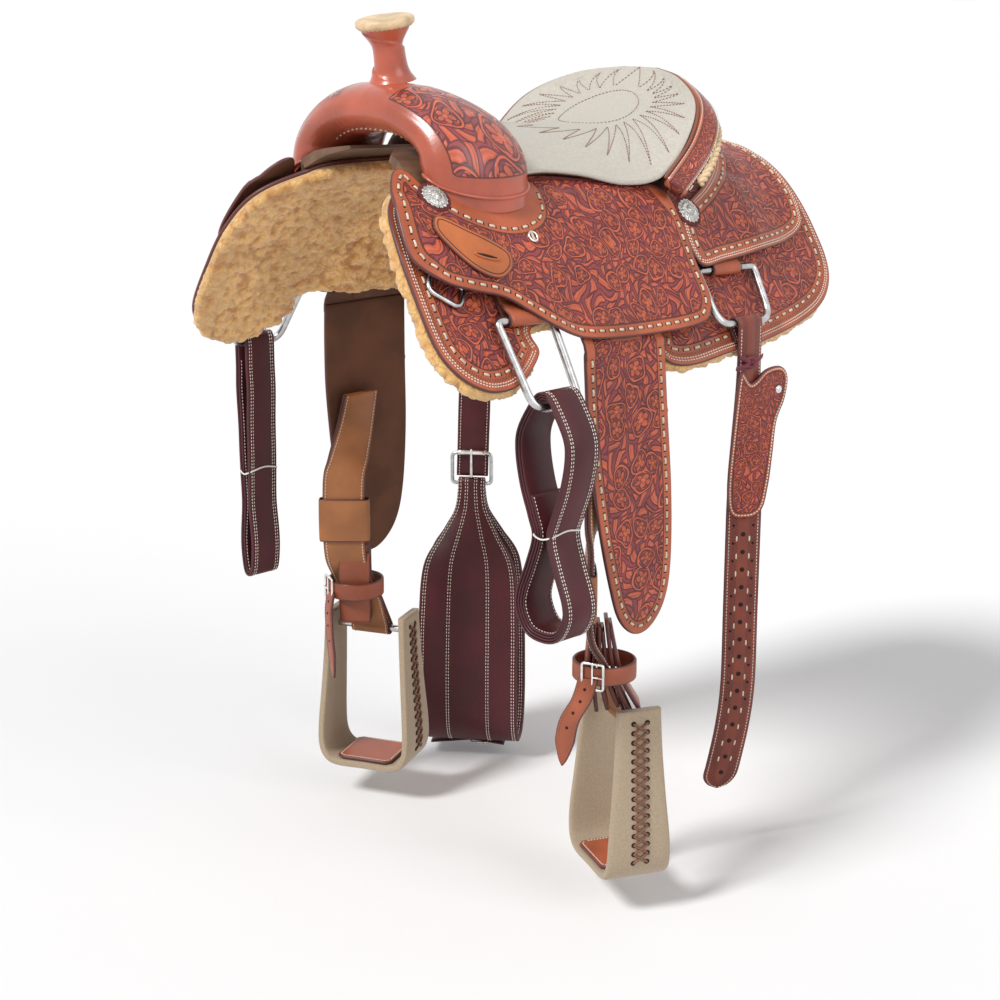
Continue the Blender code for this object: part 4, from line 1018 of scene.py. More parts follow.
def build_swell():
    """The carved leather over the fork, with its plain front roll, pleats, gullet lacing and welts."""
    grid = fork_grid()
    rows, columns = grid.shape[:2]
    number = np.arange(rows)
    angle = np.linspace(-pi, pi, columns, endpoint=False)
    from_centre = grid - grid.mean(axis=1, keepdims=True)
    out = unit(from_centre)
    radius = np.linalg.norm(from_centre, axis=2)
    from_foot = (np.minimum(number, number[::-1]) / (rows - 1) * 2 - 0.16) * 0.24
    middle = np.abs(number - (rows - 1) / 2)[:, None] / rows
    from_horn = (middle - 0.085) * 0.5
    across = np.minimum((angle - ROLL_EDGE) * radius, (REAR_EDGE - angle) * radius)
    edge = np.minimum(across, np.minimum(from_foot[:, None], from_horn))
    pleated = np.exp(-((angle + radians(150)) / 0.42) ** 2) * smooth_step((0.30 - middle) / 0.12)
    pleats = np.abs(np.sin(number * pi / 2.0))[:, None]
    step = 0.0011 * smooth_step(edge / 0.002) - 0.0028 * pleated * pleats
    item = surface("swell_leather", grid + out * step[..., None], around=True, edge=np.maximum(edge, 0.0))
    settle(item, "saddle", "swell", "swell_cover")
    lace_column = int(radians(180 - 142) / (2 * pi) * columns)
    keep = middle[:, 0] < 0.26
    lacing = stitches("gullet_lacing", grid[keep, lace_column], out[keep, lace_column], GULLET_LACE)
    settle(lacing, "saddle", "lace")
    front = (angle > radians(-118)) & (angle < radians(150))
    for word, row in (("right", 4), ("left", rows - 5)):
        welt = (grid[row] + out[row] * 0.0010)[front]
        settle(tube("swell_welt_" + word, welt, 0.0022), "saddle", "horn")


HORN_SIDES = 64
HORN_NECK = [
    # share of the horn's height, radius
    (-0.08, 0.0290), (0.00, 0.0258), (0.08, 0.0232), (0.22, 0.0206), (0.42, 0.0190),
    (0.60, 0.0186), (0.70, 0.0202), (0.80, 0.0236), (0.90, 0.0272), (0.985, 0.0295),
]
HORN_CAP = [
    (0.96, 0.0200), (0.965, 0.0270), (0.985, 0.0315), (1.01, 0.0338), (1.045, 0.0352), (1.09, 0.0354),
    (1.135, 0.0347), (1.165, 0.0325), (1.182, 0.0290), (1.186, 0.0240), (1.183, 0.0215), (1.187, 0.0195),
    (1.187, 0.0100),
]


def horn_ring(share, radius, count=HORN_SIDES):
    centre = np.array(HORN_BASE + (HORN_TOP - HORN_BASE) * share)
    across = np.array((1.0, 0, 0))
    return centre + ring(across, np.cross(np.array(HORN_LEAN), across), count) * radius


def build_horn():
    """The wrapped neck with the step of its spiral seam, and the bound cap with its stitched rim."""
    turn = np.linspace(0, 1, HORN_SIDES, endpoint=False)[:, None]
    rings = []
    for share, radius in smooth_curve(HORN_NECK, 6):
        wound = (turn + share * 1.35 + 0.10) % 1.0
        step = 0.0024 * (wound - 0.5) * ramp(share, 0.0, 0.15) * ramp(share, 1.0, 0.9)
        rings.append(horn_ring(share, radius + step))
    settle(surface("horn_wrap_leather", rings, around=True), "saddle", "horn", "horn_wrap")
    rings = [horn_ring(share, radius) for share, radius in smooth_curve(HORN_CAP, 3)]
    settle(surface("horn_cap_rawhide", rings, around=True, caps=True), "saddle", "rawhide", "horn_cap")
    rim = closed_line(horn_ring(0.985, 0.0312, 120))
    away = np.tile(-np.array(HORN_LEAN), (len(rim), 1))
    settle(stitches("horn_cap_stitches", rim, away, HORN_STITCH), "saddle", "brown_thread")


# The seat and the cantle

SEAT_LENGTH = 0.36
SEAT_HALF_WIDTH = 0.15
SEAT_ROWS = [
    # centre (y, z), part way out (y, z), edge (x, y, z)
    ((-0.122, 0.104), (-0.120, 0.090), (0.126, -0.113, 0.040)),
    ((-0.065, 0.095), (-0.066, 0.081), (0.124, -0.068, 0.040)),
    ((0.010, 0.087), (0.003, 0.073), (0.133, -0.015, 0.033)),
    ((0.085, 0.083), (0.070, 0.070), (0.150, 0.045, 0.019)),
    ((0.140, 0.088), (0.121, 0.078), (0.163, 0.100, 0.026)),
    ((0.185, 0.106), (0.163, 0.099), (0.168, 0.140, 0.070)),
    ((0.215, 0.128), (0.198, 0.122), (0.147, 0.178, 0.112)),
    ((0.232, 0.144), (0.222, 0.141), (0.090, 0.210, 0.140)),
    ((0.2375, 0.1495), (0.2365, 0.1492), (0.030, 0.2350, 0.1490)),
]
SEAT_PART_WAY = 0.6
SEAT_STEPS = 10
SEAT_ACROSS = 96


def even_curve(middle, part, edge, u):
    p = SEAT_PART_WAY ** 2
    fourth = ((edge - middle) - (part - middle) / p) / (1 - p)
    return middle + ((edge - middle) - fourth) * u * u + fourth * u ** 4


def seat_points(v, u):
    """Points on the seat's face: v from 0 in front to 1 at the cantle, u from -1 to 1 across."""
    keys = smooth_curve([(*c, *m, *e) for c, m, e in SEAT_ROWS], SEAT_STEPS)
    stops = np.linspace(0, 1, len(keys))
    row = [np.interp(v, stops, keys[:, k]) for k in range(7)]
    y = even_curve(row[0], row[2], row[5], u)
    z = even_curve(row[1], row[3], row[6], u)
    return np.stack([row[4] * u, y, z], axis=-1)


def seat_place(angle, reach):
    """Seat coordinates of a point by its bearing from the seat's middle and its share of the way out."""
    u, v = np.sin(angle) * reach, -np.cos(angle) * reach
    return 0.56 + 0.44 * v, u * (1 - 0.18 * np.maximum(v, 0) ** 2)


def seat_frame(v, u):
    """Points on the seat's face and the way off it at each."""
    points = seat_points(v, u)
    off = unit(np.cross(seat_points(v, u + 0.002) - points, seat_points(v + 0.002, u) - points))
    return points, off * np.sign(off[:, 2:3])


def seat_zigzag():
    """The stitched sunburst: long points from the seat's rim in towards its middle."""
    angles = np.linspace(0, 2 * pi, 721)
    rim = np.array([seat_points(*seat_place(angle, 0.94)) for angle in angles])
    reach = arc_lengths(rim)
    count = 2 * round(reach[-1] / 0.030)
    points = []
    for i in range(count + 1):
        angle = np.interp(reach[-1] * i / count, reach, angles)
        inner = 0.43 + 0.05 * cos(3 * angle) + 0.26 * max(cos(angle), 0.0) ** 2
        points.append(seat_place(angle, 0.94 if i % 2 else inner))
    return np.array(points)


def build_seat():
    """The padded suede, pressed in along its sewing, with its two sewn figures and its edge's loops."""
    rows, columns = (len(SEAT_ROWS) - 1) * SEAT_STEPS + 1, SEAT_ACROSS + 1
    v, u = np.meshgrid(np.linspace(0, 1, rows), np.linspace(-1, 1, columns), indexing="ij")
    grid = seat_points(v, u)
    zigzag = seat_zigzag()
    oval = np.array([seat_place(angle, 0.33) for angle in np.linspace(0, 2 * pi, 60)])
    size = np.array([SEAT_LENGTH, SEAT_HALF_WIDTH])
    flat = np.stack([v, u], axis=-1).reshape(-1, 2) * size
    gap = np.full(len(flat), np.inf)
    for line in (zigzag, oval):
        for start, end in zip(line * size, line[1:] * size):
            way = end - start
            share = np.clip(((flat - start) @ way) / max(way @ way, 1e-12), 0, 1)
            gap = np.minimum(gap, np.linalg.norm(flat - start - share[:, None] * way, axis=1))
    up = unit(np.cross(np.gradient(grid, axis=1), np.gradient(grid, axis=0)))
    up *= np.sign(up[..., 2:3])
    puff = 0.0016 * (1 - np.exp(-(gap.reshape(v.shape) / 0.0035) ** 2)) - 0.0012
    thick = mix(0.009, 0.0025, np.abs(u) ** 3)
    faces = np.array(grid_faces(rows, columns))
    number = np.arange(rows * columns).reshape(rows, columns)
    rim = np.concatenate([number[0, :-1], number[:-1, -1], number[-1, :0:-1], number[:0:-1, 0]])
    walls = [(a, b, b + number.size, a + number.size) for a, b in zip(rim, np.roll(rim, -1))]
    points = np.concatenate([grid + up * puff[..., None], grid - up * thick[..., None]]).reshape(-1, 3)
    faces = faces.tolist() + (faces[:, ::-1] + number.size).tolist() + walls
    edge = np.full(len(points), FAR_FROM_EDGE)
    item = turn_outward(make_object("seat_suede", points, faces, np.tile(flat, (2, 1)), edge))
    settle(item, "saddle", "suede", "seat_pad")
    edge_line = np.stack([np.linspace(0.04, 0.62, 90), np.full(90, 0.985)], axis=1)
    for word, side in (("left", 1), ("right", -1)):
        loops = seat_points(*resample(edge_line * (1, side), 0.0035).T)
        loops[1::2, 2] -= 0.0050
        loops = tube("seat_edge_loops_" + word, smooth_curve(loops, 3), 0.0007, sides=6)
        settle(loops, "saddle", "brown_thread")
    for word, line in (("sunburst", zigzag), ("oval", oval)):
        points, off = seat_frame(*resample(line, 0.004).T)
        row = stitches("seat_" + word + "_stitches", points - off * 0.0006, off, SEAT_STITCH)
        settle(row, "saddle", "brown_thread")


CANTLE_HALF_WIDTH = 0.165


def rim_frames(steps):
    """Points on the seat's rim from the left foot over the top to the right, each with two ways off it."""
    left = smooth_curve([edge for _, _, edge in SEAT_ROWS[4:]], steps)
    path = np.vstack([left, mirrored(left[::-1], -1)])
    width = np.abs(path[:, 0]) / CANTLE_HALF_WIDTH
    outward = np.stack([0.70 * path[:, 0] / CANTLE_HALF_WIDTH, 0.36 + 0.42 * (1 - width), -0.60 + 0 * width],
                       axis=1)
    outward = unit(outward)
    along = np.stack([-path[:, 1] + 0.02, path[:, 0], 0 * width], axis=1)
    lifted = unit(np.cross(along, outward))
    lifted *= np.where(lifted[:, 2:3] < 0, -1, 1)
    return path, outward, lifted


def cantle_base(path, half_width=0.150):
    share = np.clip(path[:, 0] / CANTLE_HALF_WIDTH, -1, 1)
    y = 0.128 + 0.170 * (1 - np.abs(share) ** 2.2)
    run = np.abs(share) * half_width * 1.10
    ground = on_side(run, y, jockey_under(run, y) + JOCKEY_LEATHER + 0.0065)
    return np.stack([share * half_width, y, ground[:, 2]], axis=1)


def build_cantle():
    """The rolled rim with its carved band and lacing, the binding and the leather behind."""
    path, outward, lifted = rim_frames(10)
    wide, high, sides, power = 0.0162, 0.0078, 28, 2.3
    rings = []
    for spot, out, up in zip(path, outward, lifted):
        rings.append(spot + out * 0.0218 - up * 0.002 + ring(out * wide, up * high, sides, power))
    from_edge = wide - np.abs(ring((wide, 0), (0, high), sides, power)[:, 0])
    from_edge = np.tile(from_edge, (len(path), 1))
    band = surface("cantle_roll_leather", rings, around=True, caps=True, edge=from_edge)
    settle(band, "saddle", "band", "cantle_roll")
    for word, reach in (("inner", 0.0080), ("outer", 0.0352)):
        line = path + outward * reach + lifted * 0.0048
        settle(stitches("cantle_roll_seam_" + word, line, lifted, BAND_STITCH), "saddle", "thread")
    line = path + outward * 0.0378 - lifted * 0.0005
    laced("cantle_roll_lacing", line, unit(outward + lifted), "saddle")
    rim = path + outward * 0.0040 + lifted * 0.0006
    settle(tube("seat_binding", rim, 0.0024), "saddle", "binding")
    inner = slice(4, -4)
    top = path[inner] + outward[inner] * 0.026 - lifted[inner] * 0.0140
    base = cantle_base(path[inner])
    shares = np.linspace(0, 1, 14)[:, None, None]
    back = top + (base - top) * shares + outward[inner] * (0.002 * 4 * shares * (1 - shares))
    gap = np.minimum(shares[:, :, 0], 1 - shares[:, :, 0]) * np.linalg.norm(base - top, axis=1)
    skin = surface("cantle_back_leather", back, edge=gap + 0.004)
    settle(skin, "saddle", "small_carved", "cantle_back")


def build_braid():
    """The four strands of rawhide braided along the cantle's rear edge."""
    path, outward, lifted = rim_frames(10)
    path, out, up = path[6:-6], outward[6:-6], lifted[6:-6]
    core = path + out * 0.0420 - up * 0.0080
    reach = arc_lengths(core)
    stops = np.arange(0, reach[-1], 0.0016)
    core, out, up = [read_at(stops, reach, data) for data in (core, out, up)]
    strands = []
    for k in range(4):
        phase = stops / 0.032 * 2 * pi + k * pi / 2
        strand = core + out * (0.0050 * np.sin(phase))[:, None] + up * (0.0024 * np.sin(2 * phase))[:, None]
        strands.append(tube("braid_strand", strand, 0.0033, sides=10))
    settle(join("cantle_braid_rawhide", strands), "saddle", "rawhide", "cantle_braid")


# Small leather and silver on the side


def build_keeper():
    """The plain leaf that holds the latigo's end, with its slot and rolled lip."""
    under = above(jockey_under, JOCKEY_LEATHER + PLY_GAP)
    over = above(under, 0.0032)
    line = smooth_outline(LATIGO_KEEPER, 0.002)
    item = cut("latigo_keeper_leaf", line, on_side, under, over, 0.0025)
    settle(item, "saddle", "keeper", "latigo_keeper")
    groove = resample(inset(line, 0.0050), 0.002, closed=True)
    middle, half = np.array((0.2255, -0.2405)), np.array((0.0045, 0.0165))
    lip = middle + ring((0.0030, 0), half, 40)
    slit = middle + np.outer(np.linspace(-1, 1, 16), half)
    # The slot is a dark cord of painted shade for its depth.
    for name, flat, lift, radius, sides, finish in (("bead", groove, 0.0001, 0.0006, 6, "dark"),
                                                    ("lip", lip, 0.0004, 0.0015, 8, "keeper"),
                                                    ("slot", slit, -0.0006, 0.0019, 8, "hole")):
        points, _ = lay(on_side, over, flat, lift)
        cord = tube("latigo_keeper_" + name, points, radius, name != "slot", sides)
        settle(cord, "saddle", finish)


def disc_frame(run, y, lift, side):
    """The middle of a disc on a jockey, the way out of it and two ways along it."""
    lift = lift + float(jockey_under(np.array(run), np.array(y))) + JOCKEY_LEATHER
    spot = on_side(run, y, lift, side)
    out = unit(on_side(run, y, lift + 0.01, side) - spot)
    first = unit(np.cross((0.0, 1.0, 0.0), out))
    return spot, out, first, np.cross(out, first)


CONCHOS = [("concho_front_", 0.146, -0.268), ("concho_rear_", 0.187, 0.138)]


def build_conchos(side, word):
    for name, run, y in CONCHOS:
        build_concho(name + word, run, y, side)


def build_concho(name, run, y, side):
    """A scalloped silver concho with a rope edge and engraved petals, on a pinked leather rosette."""
    spot, out, first, second = disc_frame(run, y, PLY_GAP, side)
    count, size = 96, CONCHO_RADIUS
    turns = np.linspace(0, 2 * pi, count, endpoint=False)[:, None]
    circle = ring(first, second, count)
    pinks = 0.0205 + 0.0009 * np.abs(np.sin(turns * 14))
    rosette = [(0.001, -0.0008), (pinks, -0.0008), (pinks, 0.0004), (pinks - 0.0012, 0.0010),
               (0.001, 0.0010)]
    scallop = size * (1 + 0.05 * np.cos(16 * turns))
    petal = np.abs(np.cos(turns * 8))
    silver = [(0.0005, 0.0006), (scallop, 0.0008), (scallop + 0.0002, 0.0018), (scallop - 0.0012, 0.0028),
              (size * 0.86, 0.0018), (size * 0.80, 0.0020 + 0.0014 * petal),
              (size * 0.64, 0.0034 + 0.0014 * petal), (size * 0.48, 0.0044 + 0.0010 * petal),
              (size * 0.40, 0.0040), (size * 0.36, 0.0052), (size * 0.20, 0.0067), (0.0004, 0.0071)]
    for part, profile, finish in (("_rosette", rosette, "pinked"), ("_silver", silver, "silver")):
        rings = [spot + out * height + circle * radius for radius, height in profile]
        disc = settle(surface(name + part, rings, around=True), "saddle", finish)
    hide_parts(name)


def build_button(side, word):
    """The little slotted silver ring beside the seat's front."""
    spot, out, first, second = disc_frame(0.205, -0.152, 0.0, side)
    circle = spot + out * 0.0012 + ring(first, second, 40) * 0.0062
    settle(tube("seat_button_ring_" + word, circle, 0.0014, closed=True, sides=10), "saddle", "polished")
    slit = spot + out * 0.0008 + np.outer(np.linspace(-0.0042, 0.0042, 9), first)
    settle(tube("seat_button_lace_" + word, slit, 0.0018, sides=8), "saddle", "lace")


# Dees and rigging


def rounded_corners(corners, radii, steps=8):
    """A closed flat outline of straight runs with each corner turned by its radius."""
    corners = np.asarray(corners, float)
    count = len(corners)
    path = []
    for i, radius in enumerate(radii):
        corner = corners[i]
        start = corner + unit(corners[i - 1] - corner) * radius
        end = corner + unit(corners[(i + 1) % count] - corner) * radius
        for t in np.linspace(0, 1, steps):
            path.append((1 - t) ** 2 * start + 2 * t * (1 - t) * corner + t * t * end)
    return np.array(path)


def rear_dee_lift(run):
    return DEE_LIFT + 0.055 * np.maximum(run - REAR_DEE_RUN, 0.0)


def build_dees(side, word):
    """The three steel dees of a side, and the leathers that the two large ones hang in."""
    front, rear = FRONT_DEE_Y, REAR_DEE_Y
    dees = (
        # name, corners, radii of the upper and lower corners, lift, wire
        ("front", [(FRONT_DEE_RUN, front - 0.042), (FRONT_DEE_RUN, front + 0.046),
                   (FRONT_DEE_END, front + 0.038), (FRONT_DEE_END, front - 0.038)],
         0.007, 0.020, level(DEE_LIFT), DEE_WIRE),
        ("rear", [(REAR_DEE_RUN, rear - 0.054), (REAR_DEE_RUN, rear + 0.060),
                  (BILLET_RUN, rear + 0.050), (BILLET_RUN, rear - 0.056)],
         0.007, 0.024, lambda run, y: rear_dee_lift(run), DEE_WIRE),
        ("breast", [(0.229, -0.312), (0.255, -0.275), (0.277, -0.292), (0.250, -0.329)],
         0.005, 0.011, level(0.0042), SMALL_WIRE),
    )
    for name, corners, upper, lower, lift, wire in dees:
        line = resample(rounded_corners(corners, (upper, upper, lower, lower)), 0.003, closed=True)
        points = on_side(line[:, 0], line[:, 1], lift(line[:, 0], line[:, 1]), side)
        body = name + "_dee_" + word
        settle(tube(name + "_dee_wire_" + word, points, wire, closed=True, sides=16), body, "steel", body)
    rigging_loop("rigging_front_leather_" + word, front - 0.026, front + 0.034, 0.200, FRONT_DEE_RUN, side,
                 "rigging_front_" + word)
    rigging_loop("rear_rigging_leather_" + word, rear - 0.028, rear + 0.028, 0.175, REAR_DEE_RUN, side,
                 "rear_rigging_" + word)


def rigging_loop(name, y_start, y_end, run_start, bar_run, side, node):
    """A strap folded round a dee's bar, with both of its plies running up under the jockey."""
    reach = DEE_WIRE + 0.0006 + WRAP_PLY / 2
    low, high = DEE_LIFT - reach, DEE_LIFT + reach
    runs = np.linspace(run_start, bar_run - 0.022, 8)
    path = [(run, low + WRAP_PLY + 0.0010) for run in runs]
    path += [(bar_run - 0.017, (low + WRAP_PLY + high) / 2), (bar_run - 0.004, high)]
    for turn in np.radians((75, 50, 25, 0, -25, -50, -75)):
        path.append((bar_run + reach * cos(turn), DEE_LIFT + reach * sin(turn)))
    path += [(bar_run - 0.004, low)] + [(run, low) for run in runs[::-1]]
    path = np.array(path)
    path = np.array(path)
    way = unit(np.gradient(path, axis=0))
    normal = np.stack([-way[:, 1], way[:, 0]], axis=1) * (WRAP_PLY / 2)
    loop = np.vstack([path + normal, (path - normal)[::-1]])
    ys = np.linspace(y_start, y_end, 9)
    rings = [on_side(loop[:, 0], y, loop[:, 1], side) for y in ys]
    edge = np.repeat(np.minimum(ys - y_start, y_end - ys), len(loop))
    settle(surface(name, rings, around=True, caps=True, edge=edge), "saddle", "plain", node)

# Straps


def strap(name, path, across, width, thickness, closed=False):
    """A flat strap with rounded edges along a path. Across and width are single or one for each point."""
    path = np.asarray(path, float)
    count = len(path)
    widths = np.broadcast_to(np.asarray(width, float), count)
    sideways = unit(np.broadcast_to(np.asarray(across, float), (count, 3)))
    if closed:
        tangent = np.roll(path, -1, 0) - np.roll(path, 1, 0)
    else:
        tangent = np.gradient(path, axis=0)
    normal = unit(np.cross(unit(tangent), sideways))
    half = thickness / 2
    turn = min(half * 0.8, 0.0016)
    profile = [(-1, turn, 1), (0, 0, 1.06), (1, turn, 1), (1, 0.3 * turn, 0.62), (1, 0, 0),
               (1, 0.3 * turn, -0.62), (1, turn, -1), (0, 0, -1.06), (-1, turn, -1), (-1, 0.3 * turn, -0.62),
               (-1, 0, 0), (-1, 0.3 * turn, 0.62)]
    rings, edges = [], []
    for side_sign, pull, height in profile:
        reach = side_sign * np.maximum(widths / 2 - pull, 0.0002)
        rings.append(path + sideways * reach[:, None] + normal * (half * height))
        edges.append(widths / 2 if side_sign == 0 else np.full(count, pull))
    grid = np.stack(rings, axis=1)
    edge = np.stack(edges, axis=1)
    return surface(name, grid, along=closed, around=True, caps=not closed, edge=edge.ravel()), normal


def sewing(path, ways, normal, faces, depth, size, closed=False):
    """Stitched rows along a strap: one for each way across from its middle, on each of the faces given."""
    rows = []
    for way in ways:
        for face in faces:
            line, away = path + way + normal * (face * depth), normal * face
            if closed:
                line, away = closed_line(line), closed_line(away)
            rows.append(stitches("row", line, away, size))
    return rows


def strap_rows(name, path, across, width, normal, thickness, gap, body, finish="thread"):
    """A row of sewing along each edge of a strap, on both faces."""
    half = np.broadcast_to(np.asarray(width, float) / 2, len(path))[:, None] - gap
    sideways = unit(np.broadcast_to(np.asarray(across, float), (len(path), 3)))
    rows = sewing(path, (sideways * half, -sideways * half), normal, (1, -1), thickness / 2 + THREAD_LIFT,
                  STRAP_STITCH)
    settle(join(name, rows), body, finish)


def latigo_loop(wall, spread, drop):
    """The closed line of a wound and tied latigo, as (out, up) from the dee's bar."""
    top = DEE_WIRE + 0.0026 + wall / 2
    narrow = wall / 2 + 0.0035
    half = [(0.80 * top, 0.60 * top), (0.90 * spread, -0.10 * drop), (spread, -0.20 * drop),
            (0.80 * spread, -0.34 * drop), (mix(narrow, spread, 0.25), -0.47 * drop), (narrow, -0.56 * drop),
            (0.55 * spread, -0.69 * drop), (0.93 * spread, -0.82 * drop), (0.96 * spread, -0.90 * drop),
            (0.60 * spread, -0.98 * drop)]
    loop = [(0.0, top)] + half + [(0.0, -drop)] + [(-x, z) for x, z in reversed(half)]
    return smooth_curve(loop, 8, closed=True)


LATIGOS = [
    # name, node, width, wall, half width of the loop, drop, side, plies
    ("latigo_strap", "latigo_left", LATIGO_WIDTH, LATIGO_WALL, 0.037, 0.272, 1, 4),
    ("off_billet_strap", "off_billet_right", BILLET_WIDTH, 0.007, 0.0105, 0.318, -1, 2),
]


def build_latigo(name, node, width, wall, spread, drop, side, plies):
    """A long strap wound in plies, slipped over the dee's lower bar and tied at its waist."""
    bar = on_side(FRONT_DEE_END, FRONT_DEE_Y, DEE_LIFT, side)
    loop = latigo_loop(wall, spread, drop)
    outward = -inward_ways(loop)
    ply = wall / plies
    middle = bar - (0, 0, drop / 2)
    parts, rows = [], []
    for k in range(plies):
        line = loop + outward * (wall / 2 - ply * (k + 0.5))
        path = bar + np.stack([side * line[:, 0], np.full(len(line), 0.0009 * (k - 1)), line[:, 1]], axis=1)
        closed = k < plies - 1 or plies == 2
        if not closed:
            path = path[10:-34]
        piece, normal = strap("ply", path, (0, 1, 0), width - 0.001 * k, ply * 0.86, closed)
        parts.append(piece)
        if 0 < k < plies - 1:
            continue
        facing = np.sign(np.sum(normal * (path - (0, 0.0009 * (k - 1), 0) - middle), axis=1).mean()) or 1.0
        gaps = (0.0045, 0.0078) if k == 0 else (0.0045,)
        ways = [(0, half * (width / 2 - gap), 0) for half in (1, -1) for gap in gaps]
        clear = slice(14, -14) if k > 0 and closed else slice(None)
        face = facing if k == 0 else -facing
        rows += sewing(path[clear], ways, normal[clear], (face,), ply * 0.43 + THREAD_LIFT, LATIGO_STITCH,
                       closed=k == 0)
    settle(join(name, parts), node, "maroon", node)
    settle(join(name + "_sewing", rows), node, "thread")
    waist = ring((wall + 0.0046, 0, 0), (0, width / 2 + 0.0014, 0), 48, 5)
    waist[:, 2] = 0.004 * np.cos(np.linspace(0, 4 * pi, 48, endpoint=False)) - 0.545 * drop
    settle(tube(name + "_tie", bar + waist, 0.0011, closed=True, sides=8), node, "tie")


def billet_head(side):
    """The fold of a billet over a rear dee's lower bar, from its hem under the dee to the front ply."""
    bar = on_side(BILLET_RUN, BILLET_Y, rear_dee_lift(BILLET_RUN), side)
    flank = float(section(np.array(BILLET_RUN), np.array(BILLET_Y))[2])
    down_slope = np.array((side * cos(flank), 0, -sin(flank)))
    reach = DEE_WIRE + 0.0016 + STRAP_LEATHER / 2
    turns = np.linspace(pi * 1.5 - flank, 0.0, 14)
    fold = [bar + np.array((side * cos(turn), 0, sin(turn))) * reach for turn in turns]
    return np.array([fold[0] + down_slope * 0.022, fold[0] + down_slope * 0.011] + fold)


BILLET_TURN = radians(38)


def billet_frame(z):
    """The ways across and off the near billet's face at a height."""
    turn = BILLET_TURN * smooth_step(ramp(np.asarray(z, float), -0.205, -0.420))
    c, s, zero = np.cos(turn), np.sin(turn), 0.0 * turn
    return np.stack([s, c, zero], axis=-1), np.stack([c, -s, zero], axis=-1)


def build_near_billet():
    """The long billet on the near side, sewn at both edges, punched and laced down its middle."""
    body = "rear_billet_left"
    head = billet_head(1)
    face = head[-1][0]
    lower = [(face, BILLET_Y, z) for z in (-0.200, -0.300, -0.420, -0.540, -0.640)]
    lower += [(face - 0.004, BILLET_Y - 0.003, -0.700), (face - 0.014, BILLET_Y - 0.007, -0.760),
              (face - 0.019, BILLET_Y - 0.010, -0.785), (face - 0.021, BILLET_Y - 0.011, -0.798)]
    path = resample(np.vstack([head, smooth_curve(np.vstack([head[-1:], lower]), 10)[1:]]), 0.004)
    z = path[:, 2]
    tip = np.sqrt(np.clip(1 - (1 - np.clip((z - z[-1]) / 0.024, 0, 1)) ** 2, 0.001, 1))
    widths = BILLET_WIDTH * np.where(z < -0.5, np.maximum(tip, 0.12), 1.0)
    across, _ = billet_frame(z)
    across[:len(head)] = (0.0, 1.0, 0.0)
    item, normal = strap("near_billet_leather", path, across, widths, STRAP_LEATHER)
    settle(item, body, "billet", body)
    low = z < -0.16
    outward = normal * np.sign(normal[:, 0:1] + 1e-9)
    lower = path[low]
    strap_rows("near_billet_sewing", lower, across[low], widths[low], outward[low], STRAP_LEATHER, 0.0045,
               body)
    middle = resample(lower[lower[:, 2] > -0.775], 0.0240)[8:]
    holes = []
    for spot, way, off in zip(middle, *billet_frame(middle[:, 2])):
        spot = spot + off * (STRAP_LEATHER / 2 + 0.0002)
        holes.append(dot(spot, off, 0.0031))
        for by in (0.0132, -0.0132):
            holes.append(dot(spot + way * by + (0, 0, 0.012), off, 0.0018))
    settle(join("near_billet_holes", holes), body, "hole")
    line = lower[(lower[:, 2] < -0.42) & (lower[:, 2] > -0.775)]
    wide, out = billet_frame(line[:, 2])
    laces = sewing(line, (wide * -0.0085, wide * 0.0085), out, (1,), STRAP_LEATHER / 2 + THREAD_LIFT,
                   BILLET_LACE)
    settle(join("near_billet_lacing", laces), body, "lace")


def dot(spot, out, radius, depth=0.0004):
    """A small dark disc at the mouth of a punched hole: painted shade for the hole's depth."""
    out = unit(np.array(out, float))
    first = unit(np.cross(out, (0.13, 0.27, 0.95)))
    rim = ring(first, np.cross(out, first), 12) * radius
    rings = [spot - out * depth + rim, spot + out * depth * 0.5 + rim, spot + out * depth * 0.5 + rim * 0.1]
    return surface("dot", rings, around=True)


BILLET_KEEPER = [(-0.024, -0.222), (0.000, -0.236), (0.028, -0.222), (0.058, -0.221), (0.071, -0.236),
                 (0.062, -0.262), (0.044, -0.290), (0.036, -0.330), (0.030, -0.372), (0.022, -0.404),
                 (0.002, -0.414), (-0.022, -0.402), (-0.026, -0.320)]


def build_billet_keeper():
    """The scalloped keeper over the billet's head, with its silver screw and wine lace tie."""
    body = "rear_billet_left"
    axis = np.array((billet_head(1)[-1][0], BILLET_Y, 0.0))
    clear = STRAP_LEATHER / 2 + PLY_GAP

    def place(a, b, lift):
        wide, out = billet_frame(b)
        along, off = np.asarray(a, float)[..., None], np.asarray(lift + clear, float)[..., None]
        return axis + np.multiply.outer(b, (0, 0, 1.0)) + wide * along + out * off

    line = smooth_outline(BILLET_KEEPER, 0.002)
    item = cut("billet_keeper_leather", line, place, level(0.0), level(0.0045), 0.003)
    settle(item, body, "small_carved", "rear_billet_keeper")
    seam("billet_keeper_sewing", place, level(0.0045), inset(line, 0.0036), body)
    spot = place(0.050, -0.250, 0.0046)
    wide, out = billet_frame(-0.250)
    circle = ring(wide, (0, 0, 1.0), 40)
    profile = ((0.0055, 0.0), (0.0055, 0.0010), (0.0042, 0.0022), (0.0002, 0.0026))
    rings = [spot + circle * radius + out * height for radius, height in profile]
    settle(surface("billet_keeper_screw", rings, around=True), body, "polished")
    knot = axis + (clear + 0.0035, -0.004, -0.208)
    ties = []
    for sweep, drop in ((-0.030, -0.004), (-0.024, 0.010), (0.022, 0.006)):
        points = [knot, knot + (0.004, sweep * 0.5, drop * 0.5), knot + (0.001, sweep, drop)]
        ties.append(strap("tie", smooth_curve(points, 8), (0, 0.25, 1), 0.0060, 0.0020)[0])
    loop = knot + ring((0.002, 0.0065, 0), (0, 0, 0.006), 19)
    ties.append(tube("knot", loop, 0.0028, closed=True, sides=8))
    settle(join("billet_tie_lace", ties), body, "wine")


